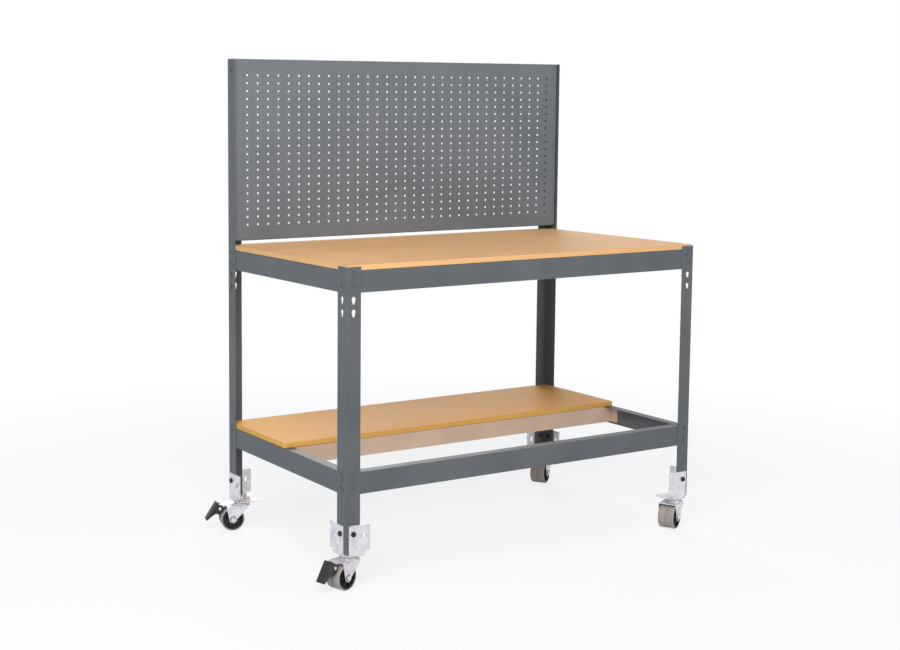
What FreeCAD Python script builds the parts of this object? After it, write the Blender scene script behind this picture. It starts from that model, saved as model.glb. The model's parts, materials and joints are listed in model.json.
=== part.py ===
import FreeCAD
import Part
import math
import os
import Sketcher
from FreeCAD import Placement, Rotation, Vector

# A mobile assembly table: four slotted angle posts, eight angle rails that hook into them, a
# particle-board top and half-depth shelf, a perforated back panel, and a twin-tread swivel caster
# under each post, braked on the left-hand side.
# Origin on the floor under the middle of the frame, +X right, +Y to the back panel, +Z up.

doc = FreeCAD.newDocument("assembly_table")

# ---------------------------------------------------------------- driving dimensions, mm
SIZES = (
    # the frame
    ("table_width", 1371.6, "over the outer faces of the posts"),
    ("table_depth", 762.0, "over the outer faces of the posts"),
    ("top_height", 972.0, "face of the worktop above the floor"),
    ("board_thickness", 16.0, "particle board of the worktop and shelf"),
    ("board_gap", 1.0, "worktop to the flange of a post"),
    ("board_corner", 5.0, "radius that clears the bend of a post"),
    ("post_flange", 50.0, "each leg of the angle"),
    ("post_gauge", 2.0, "steel of the posts"),
    ("post_bend", 4.0, "outside radius of the fold"),
    ("post_foot", 108.0, "lower end of every post above the floor"),
    ("front_post_top", 967.0, "just under the face of the worktop"),
    ("rear_post_top", 1591.0, "level with the back panel"),
    ("slot_inset", 25.0, "slots and bolts from the corner of a post"),
    ("slot_pitch", 38.1, "from slot to slot up a post"),
    ("slot_wide", 7.0, "radius of the mouth of a teardrop slot"),
    ("slot_narrow", 4.2, "radius of its locking end"),
    ("slot_rise", 12.0, "between the two centres"),
    ("rail_height", 66.0, "upright leg of a rail"),
    ("rail_ledge", 36.0, "level leg that carries the board"),
    ("rail_gauge", 2.0, "steel of the rails"),
    ("rail_bend", 4.0, "outside radius of the fold"),
    ("rail_end_gap", 4.5, "end of a rail to the flange it points at"),
    ("rivet_drop", 19.0, "first rivet below the top of a rail"),
    ("rivet_radius", 4.0, "shank of a locking rivet"),
    ("rivet_head", 6.5, "radius of its head"),
    ("rivet_head_height", 1.8, "head proud of the post"),
    ("lower_rail_top", 352.0, "ledge of the lower rails above the floor"),
    ("shelf_depth", 381.0, "half the table"),
    ("beam_height", 58.0, "upright leg of the rail under the shelf edge"),
    ("beam_tab", 30.0, "folded end of that rail"),
    ("beam_inset", 2.0, "face of that rail behind the edge of the shelf"),
    ("beam_rivet_pitch", 25.0, "between the two rivets of a folded end"),
    ("ledge_gap", 0.5, "end of one ledge to the side of the next"),
    ("open_slot_top", 1546.0, "spare slot near the top of a rear post"),
    # the perforated back panel
    ("panel_bottom", 986.0, "above the floor"),
    ("panel_height", 605.0, "from edge to edge"),
    ("panel_depth", 38.1, "of its folded rim"),
    ("panel_gauge", 1.5, "steel of the panel"),
    ("panel_gap", 2.0, "panel to the flange of a post, as much as its bend takes up"),
    ("panel_lip", 40.0, "side lip that lies on the post"),
    ("panel_rim_lip", 12.0, "lip along the top and bottom"),
    ("panel_edge", 4.0, "outside radius of the folded rim"),
    ("panel_corner", 10.0, "radius of the four corners"),
    ("peg_columns", 33.0, "perforations across"),
    ("peg_rows", 20.0, "perforations up"),
    ("peg_pitch_across", 39.5, "from column to column"),
    ("peg_pitch_up", 26.2, "from row to row"),
    ("peg_hole", 6.5, "side of a square perforation"),
    ("panel_bolt_upper", 1546.0, "height of the upper panel bolts"),
    ("panel_bolt_lower", 1031.0, "height of the lower panel bolts"),
    ("panel_bolt_radius", 3.0, "shank of a panel bolt"),
    # the corner brackets of the casters
    ("bracket_gauge", 4.0, "plate of a bracket"),
    ("bracket_base", 97.0, "underside of its base above the floor"),
    ("bracket_base_side", 68.0, "length of the base along each flange"),
    ("bracket_square_end", 12.0, "ends of the base that are square to their flange"),
    ("bracket_inner_corner", 78.0, "inner corner of the base from both outer faces"),
    ("bracket_corner", 8.0, "radius of that corner"),
    ("bracket_relief", 10.0, "open corner between the flaps"),
    ("bracket_flap_reach", 84.0, "far edge of a flap from the corner"),
    ("bracket_flap_bottom", 113.0, "where a flap widens"),
    ("bracket_top", 194.0, "upper edge of the flaps"),
    ("bracket_fold", 9.0, "outside radius of the fold"),
    ("bracket_slot_radius", 5.5, "half the width of a slot"),
    ("bracket_slot_rise", 7.0, "between the two centres of a slot"),
    ("bracket_bolt_height", 168.0, "middle of the upper slots"),
    ("bracket_spare_slot", 64.0, "outer slot from the corner"),
    ("bracket_spare_drop", 9.0, "outer slot below the inner one"),
    ("bracket_bolt_radius", 4.0, "shank of a bracket bolt"),
    ("caster_inset", 32.0, "swivel axis from both outer faces of a post"),
    # the casters
    ("wheel_radius", 40.0, "over the treads"),
    ("wheel_trail", 36.0, "axle behind the swivel axis"),
    ("wheel_width", 54.0, "over both treads"),
    ("wheel_dish", 12.0, "webs behind the edge of the rim"),
    ("wheel_rim", 4.5, "thickness of the rim"),
    ("wheel_hub", 11.0, "radius of the hub"),
    ("hub_play", 0.5, "end of the hub to a leg of the fork"),
    ("tread_groove", 6.0, "between the two treads"),
    ("tread_thickness", 4.0, "rubber on the wheel core"),
    ("tread_floor", 1.5, "rubber under the groove"),
    ("tread_shoulder", 2.5, "drop of the bevelled outer edge of a tread"),
    ("axle_radius", 5.0, "bolt that carries the wheel"),
    ("running_clearance", 0.06, "radial, of every turning fit"),
    ("fork_gauge", 2.5, "steel of the fork"),
    ("fork_inside", 58.0, "between its legs"),
    ("fork_crown", 84.0, "underside of the crown above the floor"),
    ("fork_nose", 24.0, "crown in front of the swivel axis"),
    ("fork_tail", 58.0, "full width of the crown behind the swivel axis"),
    ("tongue_width", 24.0, "narrow end of the crown that carries the pedal"),
    ("tongue_ear", 6.0, "radius of its two ears round the pedal pin"),
    ("fork_corner", 10.0, "cut off each front corner of the crown"),
    ("fork_skirt", 6.0, "depth of a leg at both ends of the crown"),
    ("fork_fold", 2.0, "outside radius of its upper edges"),
    ("fork_boss", 13.0, "rounded foot of a leg"),
    ("cup_radius", 27.0, "ball cup on the crown"),
    ("cup_top", 91.0, "rim of the cup above the floor"),
    ("cup_floor_play", 0.4, "ball ring to the floor of the cup"),
    ("race_radius", 25.0, "upper race, fixed to the bracket"),
    ("race_bottom", 92.0, "upper race above the floor"),
    ("race_track", 1.6, "depth of the ball track in the race"),
    ("ball_track", 17.0, "radius of the ball ring"),
    ("ball_radius", 2.5, "section of the ball ring"),
    ("stem_radius", 6.0, "kingpin"),
    ("stem_head", 10.0, "radius of the head under the crown"),
    ("stem_head_height", 5.0, "thickness of that head"),
    ("stem_play", 0.3, "head to the underside of the crown"),
    ("stem_length", 19.0, "end of the stem above the underside of the bracket"),
    ("stem_nut_across", 18.0, "nut on the stem, across its flats"),
    ("stem_nut_height", 9.0, "height of that nut"),
    ("axle_head", 3.5, "height of the head and nut of the axle"),
    ("brake_pin_back", 79.0, "pedal pin behind the swivel axis"),
    ("brake_pin_height", 76.0, "pedal pin above the floor"),
    ("brake_pin_radius", 3.0, "steel pin through the ears and cheeks"),
    ("brake_pin_head", 5.0, "radius of its two heads"),
    ("brake_pin_head_height", 1.5, "each head proud of a cheek"),
    ("pedal_width", 34.0, "across its treadle and cheeks"),
    ("pedal_hub", 12.5, "radius of its cheeks round the pin"),
    ("pedal_play", 0.3, "cheek to the ear inside it"),
)

sizes = doc.addObject("Spreadsheet::Sheet", "sizes")
for row, (alias, value, meaning) in enumerate(SIZES, start=1):
    sizes.set("A%d" % row, alias)
    sizes.set("B%d" % row, str(value))
    sizes.set("C%d" % row, meaning)
    sizes.setAlias("B%d" % row, alias)
doc.recompute()


def size(alias):
    """A driving dimension, read back from the sheet."""
    return float(sizes.get(alias))


def bind(target, **expressions):
    """Ties properties of an object to cells of the sheet; __ stands for a dot."""
    for name, expression in expressions.items():
        target.setExpression(name.replace("__", "."), expression)


# ---------------------------------------------------------------- helpers for bodies and sketches
SUB_PARTS = []


def keep(feature, label, placement=None):
    """Names a finished sub-part and puts it in its place."""
    feature.Label = label
    if placement is not None:
        feature.Placement = placement
    SUB_PARTS.append(feature)
    return feature


def new_body(label, placement=None):
    return keep(doc.addObject("PartDesign::Body", label), label, placement)


def new_sketch(body, name, role, across="0", up="0", lift="0"):
    """A sketch on an origin plane of its own body, its origin moved by expressions on the sheet."""
    sketch = body.newObject("Sketcher::SketchObject", name)
    plane = [item for item in body.Origin.OriginFeatures if item.Role == role][0]
    sketch.AttachmentSupport = [(plane, "")]
    sketch.MapMode = "FlatFace"
    bind(
        sketch,
        AttachmentOffset__Base__x=across,
        AttachmentOffset__Base__y=up,
        AttachmentOffset__Base__z=lift,
    )
    return sketch


def outline(sketch, corners):
    """A closed outline of straight edges; each corner is a pair of expressions on the sheet."""
    count = len(corners)
    rough = [
        Vector(90 * math.cos(2 * math.pi * i / count), 90 * math.sin(2 * math.pi * i / count), 0)
        for i in range(count)
    ]
    lines = []
    for i in range(count):
        lines.append(sketch.addGeometry(Part.LineSegment(rough[i], rough[(i + 1) % count])))
    for i in range(count):
        sketch.addConstraint(
            Sketcher.Constraint("Coincident", lines[i], 2, lines[(i + 1) % count], 1)
        )
    for line, corner in zip(lines, corners):
        place_point(sketch, line, 1, *corner)


def place_point(sketch, item, end, across, up):
    """Holds one point of a sketch at expressions measured from the sketch's origin."""
    for kind, axis, text in (("DistanceX", -2, across), ("DistanceY", -1, up)):
        if text == "0":
            sketch.addConstraint(Sketcher.Constraint("PointOnObject", item, end, axis))
            continue
        index = sketch.addConstraint(Sketcher.Constraint(kind, -1, 1, item, end, 10.0))
        sketch.setExpression("Constraints[%d]" % index, text)


def circle(sketch, radius, across="0", up="0"):
    """A circle whose radius and centre are expressions on the sheet."""
    ring = sketch.addGeometry(Part.Circle(Vector(5, 5, 0), Vector(0, 0, 1), 3))
    index = sketch.addConstraint(Sketcher.Constraint("Radius", ring, 3.0))
    sketch.setExpression("Constraints[%d]" % index, radius)
    place_point(sketch, ring, 3, across, up)


def long_slot(sketch, low, high, rise):
    """An upright slot whose lower centre is the sketch's origin; low and high are its radii."""
    r_low, r_high, apart = size(low), size(high), size(rise)
    lean = math.asin((r_high - r_low) / apart)
    base = Vector(0, 0, 0)
    top = Vector(0, apart, 0)
    right = Vector(math.cos(lean), -math.sin(lean), 0)
    left = Vector(-right.x, right.y, 0)
    unit = Vector(0, 0, 1)
    arc_low = sketch.addGeometry(
        Part.ArcOfCircle(Part.Circle(base, unit, r_low), math.pi + lean, 2 * math.pi - lean)
    )
    arc_high = sketch.addGeometry(
        Part.ArcOfCircle(Part.Circle(top, unit, r_high), -lean, math.pi + lean)
    )
    flank = sketch.addGeometry(Part.LineSegment(base + right * r_low, top + right * r_high))
    return_flank = sketch.addGeometry(Part.LineSegment(top + left * r_high, base + left * r_low))
    for first, end, second, start in (
        (arc_low, 2, flank, 1),
        (flank, 2, arc_high, 1),
        (arc_high, 2, return_flank, 1),
        (return_flank, 2, arc_low, 1),
    ):
        sketch.addConstraint(Sketcher.Constraint("Tangent", first, end, second, start))
    sketch.addConstraint(Sketcher.Constraint("Coincident", arc_low, 3, -1, 1))
    sketch.addConstraint(Sketcher.Constraint("PointOnObject", arc_high, 3, -2))
    for kind, ends, alias in (
        ("Radius", (arc_low,), low),
        ("Radius", (arc_high,), high),
        ("DistanceY", (arc_low, 3, arc_high, 3), rise),
    ):
        index = sketch.addConstraint(Sketcher.Constraint(kind, *ends, size(alias)))
        sketch.setExpression("Constraints[%d]" % index, "sizes." + alias)


def add(body, kind, sketch, both_ways=False, backwards=False, **expressions):
    """A Pad, Pocket or Revolution of a sketch, its sizes bound to the sheet."""
    feature = body.newObject("PartDesign::" + kind, sketch.Name + "_" + kind.lower())
    feature.Profile = sketch
    if kind == "Revolution":
        feature.ReferenceAxis = (sketch, ["V_Axis"])
    if both_ways:
        feature.SideType = "Symmetric"
    feature.Reversed = backwards
    bind(feature, **expressions)
    body.Tip = feature
    return feature


def repeat(body, feature, count, length):
    """Repeats a feature up its sketch's vertical axis."""
    pattern = body.newObject("PartDesign::LinearPattern", feature.Name + "_row")
    pattern.Originals = [feature]
    pattern.Direction = (feature.Profile[0], ["V_Axis"])
    pattern.Occurrences = count
    bind(pattern, Length=length)
    body.Tip = pattern
    return pattern


def mirror(body, feature, role):
    """The same feature on the other side of an origin plane."""
    plane = [item for item in body.Origin.OriginFeatures if item.Role == role][0]
    mirrored = body.newObject("PartDesign::Mirrored", feature.Name + "_mirrored")
    mirrored.Originals = [feature]
    mirrored.MirrorPlane = (plane, [""])
    body.Tip = mirrored
    return mirrored


def straight_edges(shape, along, through):
    """Numbers of the straight edges along a direction that pass through given points."""
    numbers = []
    for number, edge in enumerate(shape.Edges, start=1):
        if len(edge.Vertexes) != 2:
            continue
        chord = edge.Vertexes[1].Point - edge.Vertexes[0].Point
        if abs(chord.Length - edge.Length) > 1e-4 or abs(chord.dot(along)) < 0.9999 * chord.Length:
            continue
        if any(edge.distToShape(Part.Vertex(point))[0] < 1e-4 for point in through):
            numbers.append(number)
    return numbers


def round_edges(body, radius, along, through):
    """Fillets the body's straight edges along a direction that pass through given points."""
    doc.recompute()
    solid = body.Tip
    names = ["Edge%d" % number for number in straight_edges(solid.Shape, along, through)]
    fillet = body.newObject("PartDesign::Fillet", "%s_bend_%d" % (body.Name, len(body.Group)))
    fillet.Base = (solid, names)
    bind(fillet, Radius=radius)
    body.Tip = fillet
    return fillet


# ---------------------------------------------------------------- the corners of the frame
HALF_WIDTH = size("table_width") / 2
HALF_DEPTH = size("table_depth") / 2
UP = Vector(0, 0, 1)

# Each corner: its signs in X and Y, and the quarter turns that bring the legs of an angle drawn
# along +X and +Y onto the two outer faces there.
CORNERS = {
    "front_left": (-1, -1, 0),
    "front_right": (1, -1, 90),
    "rear_right": (1, 1, 180),
    "rear_left": (-1, 1, 270),
}


def corner_placement(corner):
    across, back, turn = CORNERS[corner]
    return Placement(Vector(across * HALF_WIDTH, back * HALF_DEPTH, 0), Rotation(UP, turn))


# ---------------------------------------------------------------- posts
# Folded angle with teardrop slots: four under the worktop, two of them holding the rivets of the
# rails, and two more for the lower rails. A rear post also has a spare slot beside the panel.
RAIL_TOP = "sizes.top_height - sizes.board_thickness"
LOWER_RAIL_TOP = "sizes.lower_rail_top"
TEARDROP = ("slot_narrow", "slot_wide", "slot_rise")


def cut_slots(body, name, role, lowest, count):
    sketch = new_sketch(body, name, role, across="sizes.slot_inset", up=lowest)
    long_slot(sketch, *TEARDROP)
    pocket = add(body, "Pocket", sketch, both_ways=True, Length="4 * sizes.post_gauge")
    if count > 1:
        doc.recompute()
        repeat(body, pocket, count, "%d * sizes.slot_pitch" % (count - 1))


def drill(body, name, role, radius, across, heights, depth):
    sketch = new_sketch(body, name, role)
    for height in heights:
        circle(sketch, radius, across, height)
    return add(body, "Pocket", sketch, both_ways=True, Length=depth)


def make_post(corner, top, panel_leg=None):
    label = corner + "_post"
    body = new_body(label, corner_placement(corner))
    flange, gauge = "sizes.post_flange", "sizes.post_gauge"
    profile = new_sketch(body, label + "_angle", "XY_Plane", lift="sizes.post_foot")
    outline(
        profile,
        [("0", "0"), (flange, "0"), (flange, gauge), (gauge, gauge), (gauge, flange), ("0", flange)],
    )
    add(body, "Pad", profile, Length="sizes.%s - sizes.post_foot" % top)
    middle = size("post_foot") + 50
    inside = size("post_gauge")
    round_edges(body, "sizes.post_bend", UP, [Vector(0, 0, middle)])
    round_edges(body, "sizes.post_bend - sizes.post_gauge", UP, [Vector(inside, inside, middle)])
    for leg, role in (("a", "XZ_Plane"), ("b", "YZ_Plane")):
        cut_slots(
            body, "%s_top_slots_%s" % (label, leg), role,
            RAIL_TOP + " - sizes.rivet_drop - 3 * sizes.slot_pitch", 4,
        )
        cut_slots(
            body, "%s_lower_slots_%s" % (label, leg), role,
            LOWER_RAIL_TOP + " - sizes.rivet_drop - sizes.slot_pitch", 2,
        )
        drill(
            body, "%s_bracket_hole_%s" % (label, leg), role,
            "sizes.bracket_bolt_radius", "sizes.slot_inset", ["sizes.bracket_bolt_height"],
            "4 * sizes.post_gauge",
        )
        if panel_leg == leg:
            drill(
                body, "%s_panel_holes" % label, role, "sizes.panel_bolt_radius",
                "sizes.slot_inset", ["sizes.panel_bolt_lower", "sizes.panel_bolt_upper"],
                "4 * sizes.post_gauge",
            )
        elif panel_leg:
            cut_slots(body, "%s_spare_slot" % label, role, "sizes.open_slot_top", 1)
    return body


make_post("front_left", "front_post_top")
make_post("front_right", "front_post_top")
make_post("rear_right", "rear_post_top", panel_leg="a")
make_post("rear_left", "rear_post_top", panel_leg="b")

# ---------------------------------------------------------------- rails
# Folded angle, upright leg against the inside of the post flanges, level leg turned inwards to
# carry the boards. The level legs of the long rails stop short of those of the side rails.
RAILS = {
    "front": (0, "table_width"),
    "right": (90, "table_depth"),
    "rear": (180, "table_width"),
    "left": (270, "table_depth"),
}
# how far the front edge of the shelf lies in front of the middle of the table
SHELF_FRONT_OUT = "(sizes.shelf_depth + sizes.board_gap + sizes.post_gauge - sizes.table_depth / 2)"
# how far the outer face of each rail lies from the middle of the table
RAIL_FACE = {
    "front": HALF_DEPTH - size("post_gauge"),
    "rear": HALF_DEPTH - size("post_gauge"),
    "left": HALF_WIDTH - size("post_gauge"),
    "right": HALF_WIDTH - size("post_gauge"),
}


def rail_placement(side, height):
    turn = Rotation(UP, RAILS[side][0])
    return Placement(turn.multVec(Vector(0, -RAIL_FACE[side], 0)) + Vector(0, 0, height), turn)


def drill_for_beam(body, label, side):
    """Two holes for the rivets of the folded end of the rail under the shelf."""
    holes = new_sketch(body, label + "_beam_holes", "XZ_Plane")
    back = "(%s - sizes.beam_inset + sizes.beam_tab / 2)" % SHELF_FRONT_OUT
    across = back if side == "left" else "-" + back
    for step in (0, 1):
        circle(
            holes, "sizes.rivet_radius", across,
            "-(sizes.rivet_drop + %d * sizes.beam_rivet_pitch)" % step,
        )
    add(body, "Pocket", holes, both_ways=True, Length="4 * sizes.rail_gauge")


def make_rail(level, side, height):
    label = "%s_%s_rail" % (level, side)
    body = new_body(label, rail_placement(side, height))
    ledge, gauge, drop = "sizes.rail_ledge", "sizes.rail_gauge", "-sizes.rail_height"
    span = "(sizes.%s - 2 * sizes.post_gauge - 2 * sizes.rail_end_gap)" % RAILS[side][1]
    profile = new_sketch(body, label + "_angle", "YZ_Plane")
    outline(
        profile,
        [("0", "0"), (ledge, "0"), (ledge, "-sizes.rail_gauge"),
         (gauge, "-sizes.rail_gauge"), (gauge, drop), ("0", drop)],
    )
    add(body, "Pad", profile, both_ways=True, Length=span)
    inside = size("rail_gauge")
    along = Vector(1, 0, 0)
    round_edges(body, "sizes.rail_bend", along, [Vector(0, 0, 0)])
    round_edges(body, "sizes.rail_bend - sizes.rail_gauge", along, [Vector(0, inside, -inside)])
    if side in ("front", "rear"):
        notch = new_sketch(body, label + "_ledge_end", "XY_Plane")
        near = "%s / 2 - sizes.rail_ledge + sizes.rail_end_gap - sizes.ledge_gap" % span
        far = "%s / 2 + 1" % span
        deep = "sizes.rail_ledge + 1"
        outline(notch, [(near, "sizes.rail_bend"), (far, "sizes.rail_bend"), (far, deep), (near, deep)])
        cut = add(body, "Pocket", notch, both_ways=True, Length="4 * sizes.rail_gauge")
        doc.recompute()
        mirror(body, cut, "YZ_Plane")
    elif level == "lower":
        drill_for_beam(body, label, side)
    return body


top_of_rails = size("top_height") - size("board_thickness")
for rail_side in RAILS:
    make_rail("top", rail_side, top_of_rails)
    make_rail("lower", rail_side, size("lower_rail_top"))

# ---------------------------------------------------------------- rail under the front of the shelf
# Angle whose ledge fits between those of the lower side rails; its ends, folded to the front,
# pass under them and are riveted to their upright legs.
SHELF_FRONT = "sizes.table_depth / 2 - sizes.post_gauge - sizes.board_gap - sizes.shelf_depth"


def make_shelf_front_rail():
    label = "shelf_front_rail"
    body = new_body(label)
    gauge = "sizes.rail_gauge"
    full = "(sizes.table_width / 2 - sizes.post_gauge - sizes.rail_gauge)"
    between = "(sizes.table_width / 2 - sizes.post_gauge - sizes.rail_ledge - sizes.ledge_gap)"
    under = "-2 * sizes.rail_gauge - sizes.ledge_gap"
    drop = "-sizes.beam_height"
    web = new_sketch(body, label + "_web", "XZ_Plane")
    outline(
        web,
        [("-" + between, "0"), (between, "0"), (between, under), (full, under),
         (full, drop), ("-" + full, drop), ("-" + full, under), ("-" + between, under)],
    )
    add(body, "Pad", web, backwards=True, Length=gauge)
    ledge = new_sketch(body, label + "_ledge", "XY_Plane")
    outline(
        ledge,
        [("-" + between, "0"), (between, "0"),
         (between, "sizes.rail_ledge"), ("-" + between, "sizes.rail_ledge")],
    )
    add(body, "Pad", ledge, backwards=True, Length=gauge)
    inside = size("rail_gauge")
    along = Vector(1, 0, 0)
    round_edges(body, "sizes.rail_bend", along, [Vector(0, 0, 0)])
    round_edges(body, "sizes.rail_bend - sizes.rail_gauge", along, [Vector(0, inside, -inside)])
    tab = new_sketch(body, label + "_tab", "YZ_Plane", lift=full)
    front, back = "-sizes.beam_tab", gauge
    outline(tab, [(front, under), (back, under), (back, drop), (front, drop)])
    first = add(body, "Pad", tab, backwards=True, Length=gauge)
    doc.recompute()
    mirror(body, first, "YZ_Plane")
    body.Placement = Placement(Vector(0, 0, size("lower_rail_top")), Rotation())
    bind(body, Placement__Base__y=SHELF_FRONT + " + sizes.beam_inset")
    return body


make_shelf_front_rail()

# ---------------------------------------------------------------- boards
def make_board(label, front, back, underside):
    """Particle board between the post flanges, lying on the ledges of the rails."""
    body = new_body(label)
    half = "(sizes.table_width / 2 - sizes.post_gauge - sizes.board_gap)"
    plan = new_sketch(body, label + "_plan", "XY_Plane", lift=underside)
    outline(plan, [("-" + half, front), (half, front), (half, back), ("-" + half, back)])
    add(body, "Pad", plan, Length="sizes.board_thickness")
    doc.recompute()
    box = body.Shape.BoundBox
    middle = box.Center.z
    corners = [Vector(x, y, middle) for x in (box.XMin, box.XMax) for y in (box.YMin, box.YMax)]
    round_edges(body, "sizes.board_corner", UP, corners)
    return body


BOARD_BACK = "sizes.table_depth / 2 - sizes.post_gauge - sizes.board_gap"
make_board("work_top", "-(" + BOARD_BACK + ")", BOARD_BACK, RAIL_TOP)
make_board("lower_shelf", SHELF_FRONT, BOARD_BACK, LOWER_RAIL_TOP)

# ---------------------------------------------------------------- perforated back panel
# Sheet with a folded rim: the rim's side lips lie on the rear legs of the rear posts. The whole
# grid of perforations is one tool of square prisms, cut from the folded sheet at once.
def block(name, corner, spans):
    """A Part::Box whose corner and three lengths are expressions on the sheet."""
    item = doc.addObject("Part::Box", name)
    bind(item, Length=spans[0], Width=spans[1], Height=spans[2])
    bind(item, Placement__Base__x=corner[0], Placement__Base__y=corner[1], Placement__Base__z=corner[2])
    return item


def boolean(kind, name, base, tool):
    item = doc.addObject("Part::" + kind, name)
    item.Base = base
    item.Tool = tool
    return item


def rounded(name, base, radius, along, through):
    """Part::Fillet of the straight edges along a direction through given points."""
    doc.recompute()
    rounds = [(number, radius, radius) for number in straight_edges(base.Shape, along, through)]
    item = doc.addObject("Part::Fillet", name)
    item.Base = base
    item.Edges = rounds
    return item


def pan_form(name, base, inset):
    """The block of a folded pan with round corners and a round front rim, less an inset."""
    doc.recompute()
    box = base.Shape.BoundBox
    depth = Vector(0, 1, 0)
    ends = [Vector(x, box.Center.y, z) for x in (box.XMin, box.XMax) for z in (box.ZMin, box.ZMax)]
    corners = rounded(name + "_corners", base, size("panel_corner") - inset, depth, ends)
    return soften_front(name + "_rim", corners, size("panel_edge") - inset)


def soften_front(name, base, radius):
    """Part::Fillet of every edge round the front face of a solid."""
    doc.recompute()
    front = base.Shape.BoundBox.YMin
    rounds = [
        (number, radius, radius)
        for number, edge in enumerate(base.Shape.Edges, start=1)
        if edge.BoundBox.YMax - front < 1e-4
    ]
    item = doc.addObject("Part::Fillet", name)
    item.Base = base
    item.Edges = rounds
    return item


def make_panel():
    half = "(sizes.table_width / 2 - sizes.post_gauge - sizes.panel_gap)"
    rear = "(sizes.table_depth / 2 - sizes.post_gauge)"
    face = "(%s - sizes.panel_depth)" % rear
    gauge = "sizes.panel_gauge"
    outer = block(
        "panel_outer",
        ("-" + half, face, "sizes.panel_bottom"),
        ("2 * " + half, "sizes.panel_depth", "sizes.panel_height"),
    )
    hollow = block(
        "panel_hollow",
        ("-%s + %s" % (half, gauge), "%s + %s" % (face, gauge), "sizes.panel_bottom + " + gauge),
        ("2 * %s - 2 * %s" % (half, gauge), "sizes.panel_depth - 2 * " + gauge,
         "sizes.panel_height - 2 * " + gauge),
    )
    mouth = block(
        "panel_mouth",
        ("-%s + sizes.panel_lip" % half, "%s + %s" % (face, gauge),
         "sizes.panel_bottom + sizes.panel_rim_lip"),
        ("2 * %s - 2 * sizes.panel_lip" % half, "2 * sizes.panel_depth",
         "sizes.panel_height - 2 * sizes.panel_rim_lip"),
    )
    shell = boolean(
        "Cut", "panel_shell",
        pan_form("panel_outside", outer, 0),
        pan_form("panel_inside", hollow, size("panel_gauge")),
    )
    pan = boolean("Cut", "panel_pan", shell, mouth)
    margin = "(%s - (sizes.peg_columns - 1) / 2 * sizes.peg_pitch_across - sizes.peg_hole)" % half
    lower = "((sizes.panel_height - (sizes.peg_rows - 1) * sizes.peg_pitch_up) / 2 - sizes.peg_hole)"
    window = block(
        "panel_window",
        ("-%s + %s" % (half, margin), "%s - %s" % (face, gauge), "sizes.panel_bottom + " + lower),
        ("2 * %s - 2 * %s" % (half, margin), "3 * " + gauge, "sizes.panel_height - 2 * " + lower),
    )
    frame = boolean("Cut", "panel_frame", pan, window)
    doc.recompute()
    grid = doc.addObject("Part::Feature", "panel_grid_face")
    grid.Shape = perforated_face(window.Shape.BoundBox)
    field = doc.addObject("Part::Extrusion", "panel_field")
    field.Base = grid
    field.Dir = Vector(0, 1, 0)
    field.Solid = True
    bind(field, LengthFwd=gauge)
    holes = doc.addObject("Part::Feature", "panel_bolt_holes")
    holes.Shape = Part.makeCompound(panel_bolt_cylinders(size("panel_bolt_radius")))
    drilled = boolean("Cut", "panel_drilled", frame, holes)
    folded = boolean("Fuse", "panel_folded", drilled, field)
    folded.Refine = False
    return keep(folded, "back_panel")


def rectangle(left, right, low, high, depth):
    """A closed wire in an upright plane; swapping low and high turns it the other way round."""
    corners = [(left, low), (right, low), (right, high), (left, high), (left, low)]
    return Part.makePolygon([Vector(x, depth, z) for x, z in corners])


def perforated_face(window):
    """The sheet inside a window of the panel, with a square perforation at each grid point."""
    hole = size("peg_hole") / 2
    columns, rows = int(size("peg_columns")), int(size("peg_rows"))
    face = HALF_DEPTH - size("post_gauge") - size("panel_depth")
    middle = size("panel_bottom") + size("panel_height") / 2
    wires = [rectangle(window.XMin, window.XMax, window.ZMin, window.ZMax, face)]
    for column in range(columns):
        x = (column - (columns - 1) / 2) * size("peg_pitch_across")
        for row in range(rows):
            z = middle + (row - (rows - 1) / 2) * size("peg_pitch_up")
            wires.append(rectangle(x - hole, x + hole, z + hole, z - hole, face))
    return Part.Face(wires)


def panel_bolt_places():
    """Where the four bolts cross the rear face of the rear posts."""
    across = HALF_WIDTH - size("slot_inset")
    return [
        Vector(side * across, HALF_DEPTH, height)
        for side in (-1, 1)
        for height in (size("panel_bolt_lower"), size("panel_bolt_upper"))
    ]


def panel_bolt_cylinders(radius):
    inward = Vector(0, -1, 0)
    length = size("post_gauge") + 2 * size("panel_gauge")
    return [Part.makeCylinder(radius, length, place, inward) for place in panel_bolt_places()]


make_panel()

# ---------------------------------------------------------------- fasteners of the frame
def shape_group(label, solids):
    """Identical fasteners kept together as separate solids of one sub-part."""
    group = doc.addObject("Part::Feature", label)
    group.Shape = Part.makeCompound(solids)
    return keep(group, label)


ROUND_SIDES = 12  # flats that stand for the round of a small fastener, of which there are many


def prism(sides, radius, height, place, direction):
    """A regular prism standing on a point along a direction; radius is out to its edges."""
    turn = Rotation(UP, direction)
    step = 2 * math.pi / sides
    corners = [
        turn.multVec(Vector(radius * math.cos(k * step), radius * math.sin(k * step), 0)) + place
        for k in range(sides)
    ]
    return Part.Face(Part.makePolygon(corners + corners[:1])).extrude(direction * height)


def hexagon(across_flats, height, place, direction):
    """A hexagonal head or nut standing on a point along a direction."""
    return prism(6, across_flats / math.sqrt(3), height, place, direction)


def rivet(place, outward):
    """Shank on the rail, through the narrow end of a slot, with its flat head on the post."""
    gauge = size("post_gauge")
    shank = prism(ROUND_SIDES, size("rivet_radius"), gauge, place - outward * gauge, outward)
    head = prism(ROUND_SIDES, size("rivet_head"), size("rivet_head_height"), place, outward)
    return shank.fuse(head)


def on_both_legs(corner, height, reach):
    """Points on the two outer faces of a corner, with the outward direction of each."""
    place = corner_placement(corner)
    for point, outward in (
        (Vector(reach, 0, height), Vector(0, -1, 0)),
        (Vector(0, reach, height), Vector(-1, 0, 0)),
    ):
        yield place.multVec(point), place.Rotation.multVec(outward)


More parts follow.
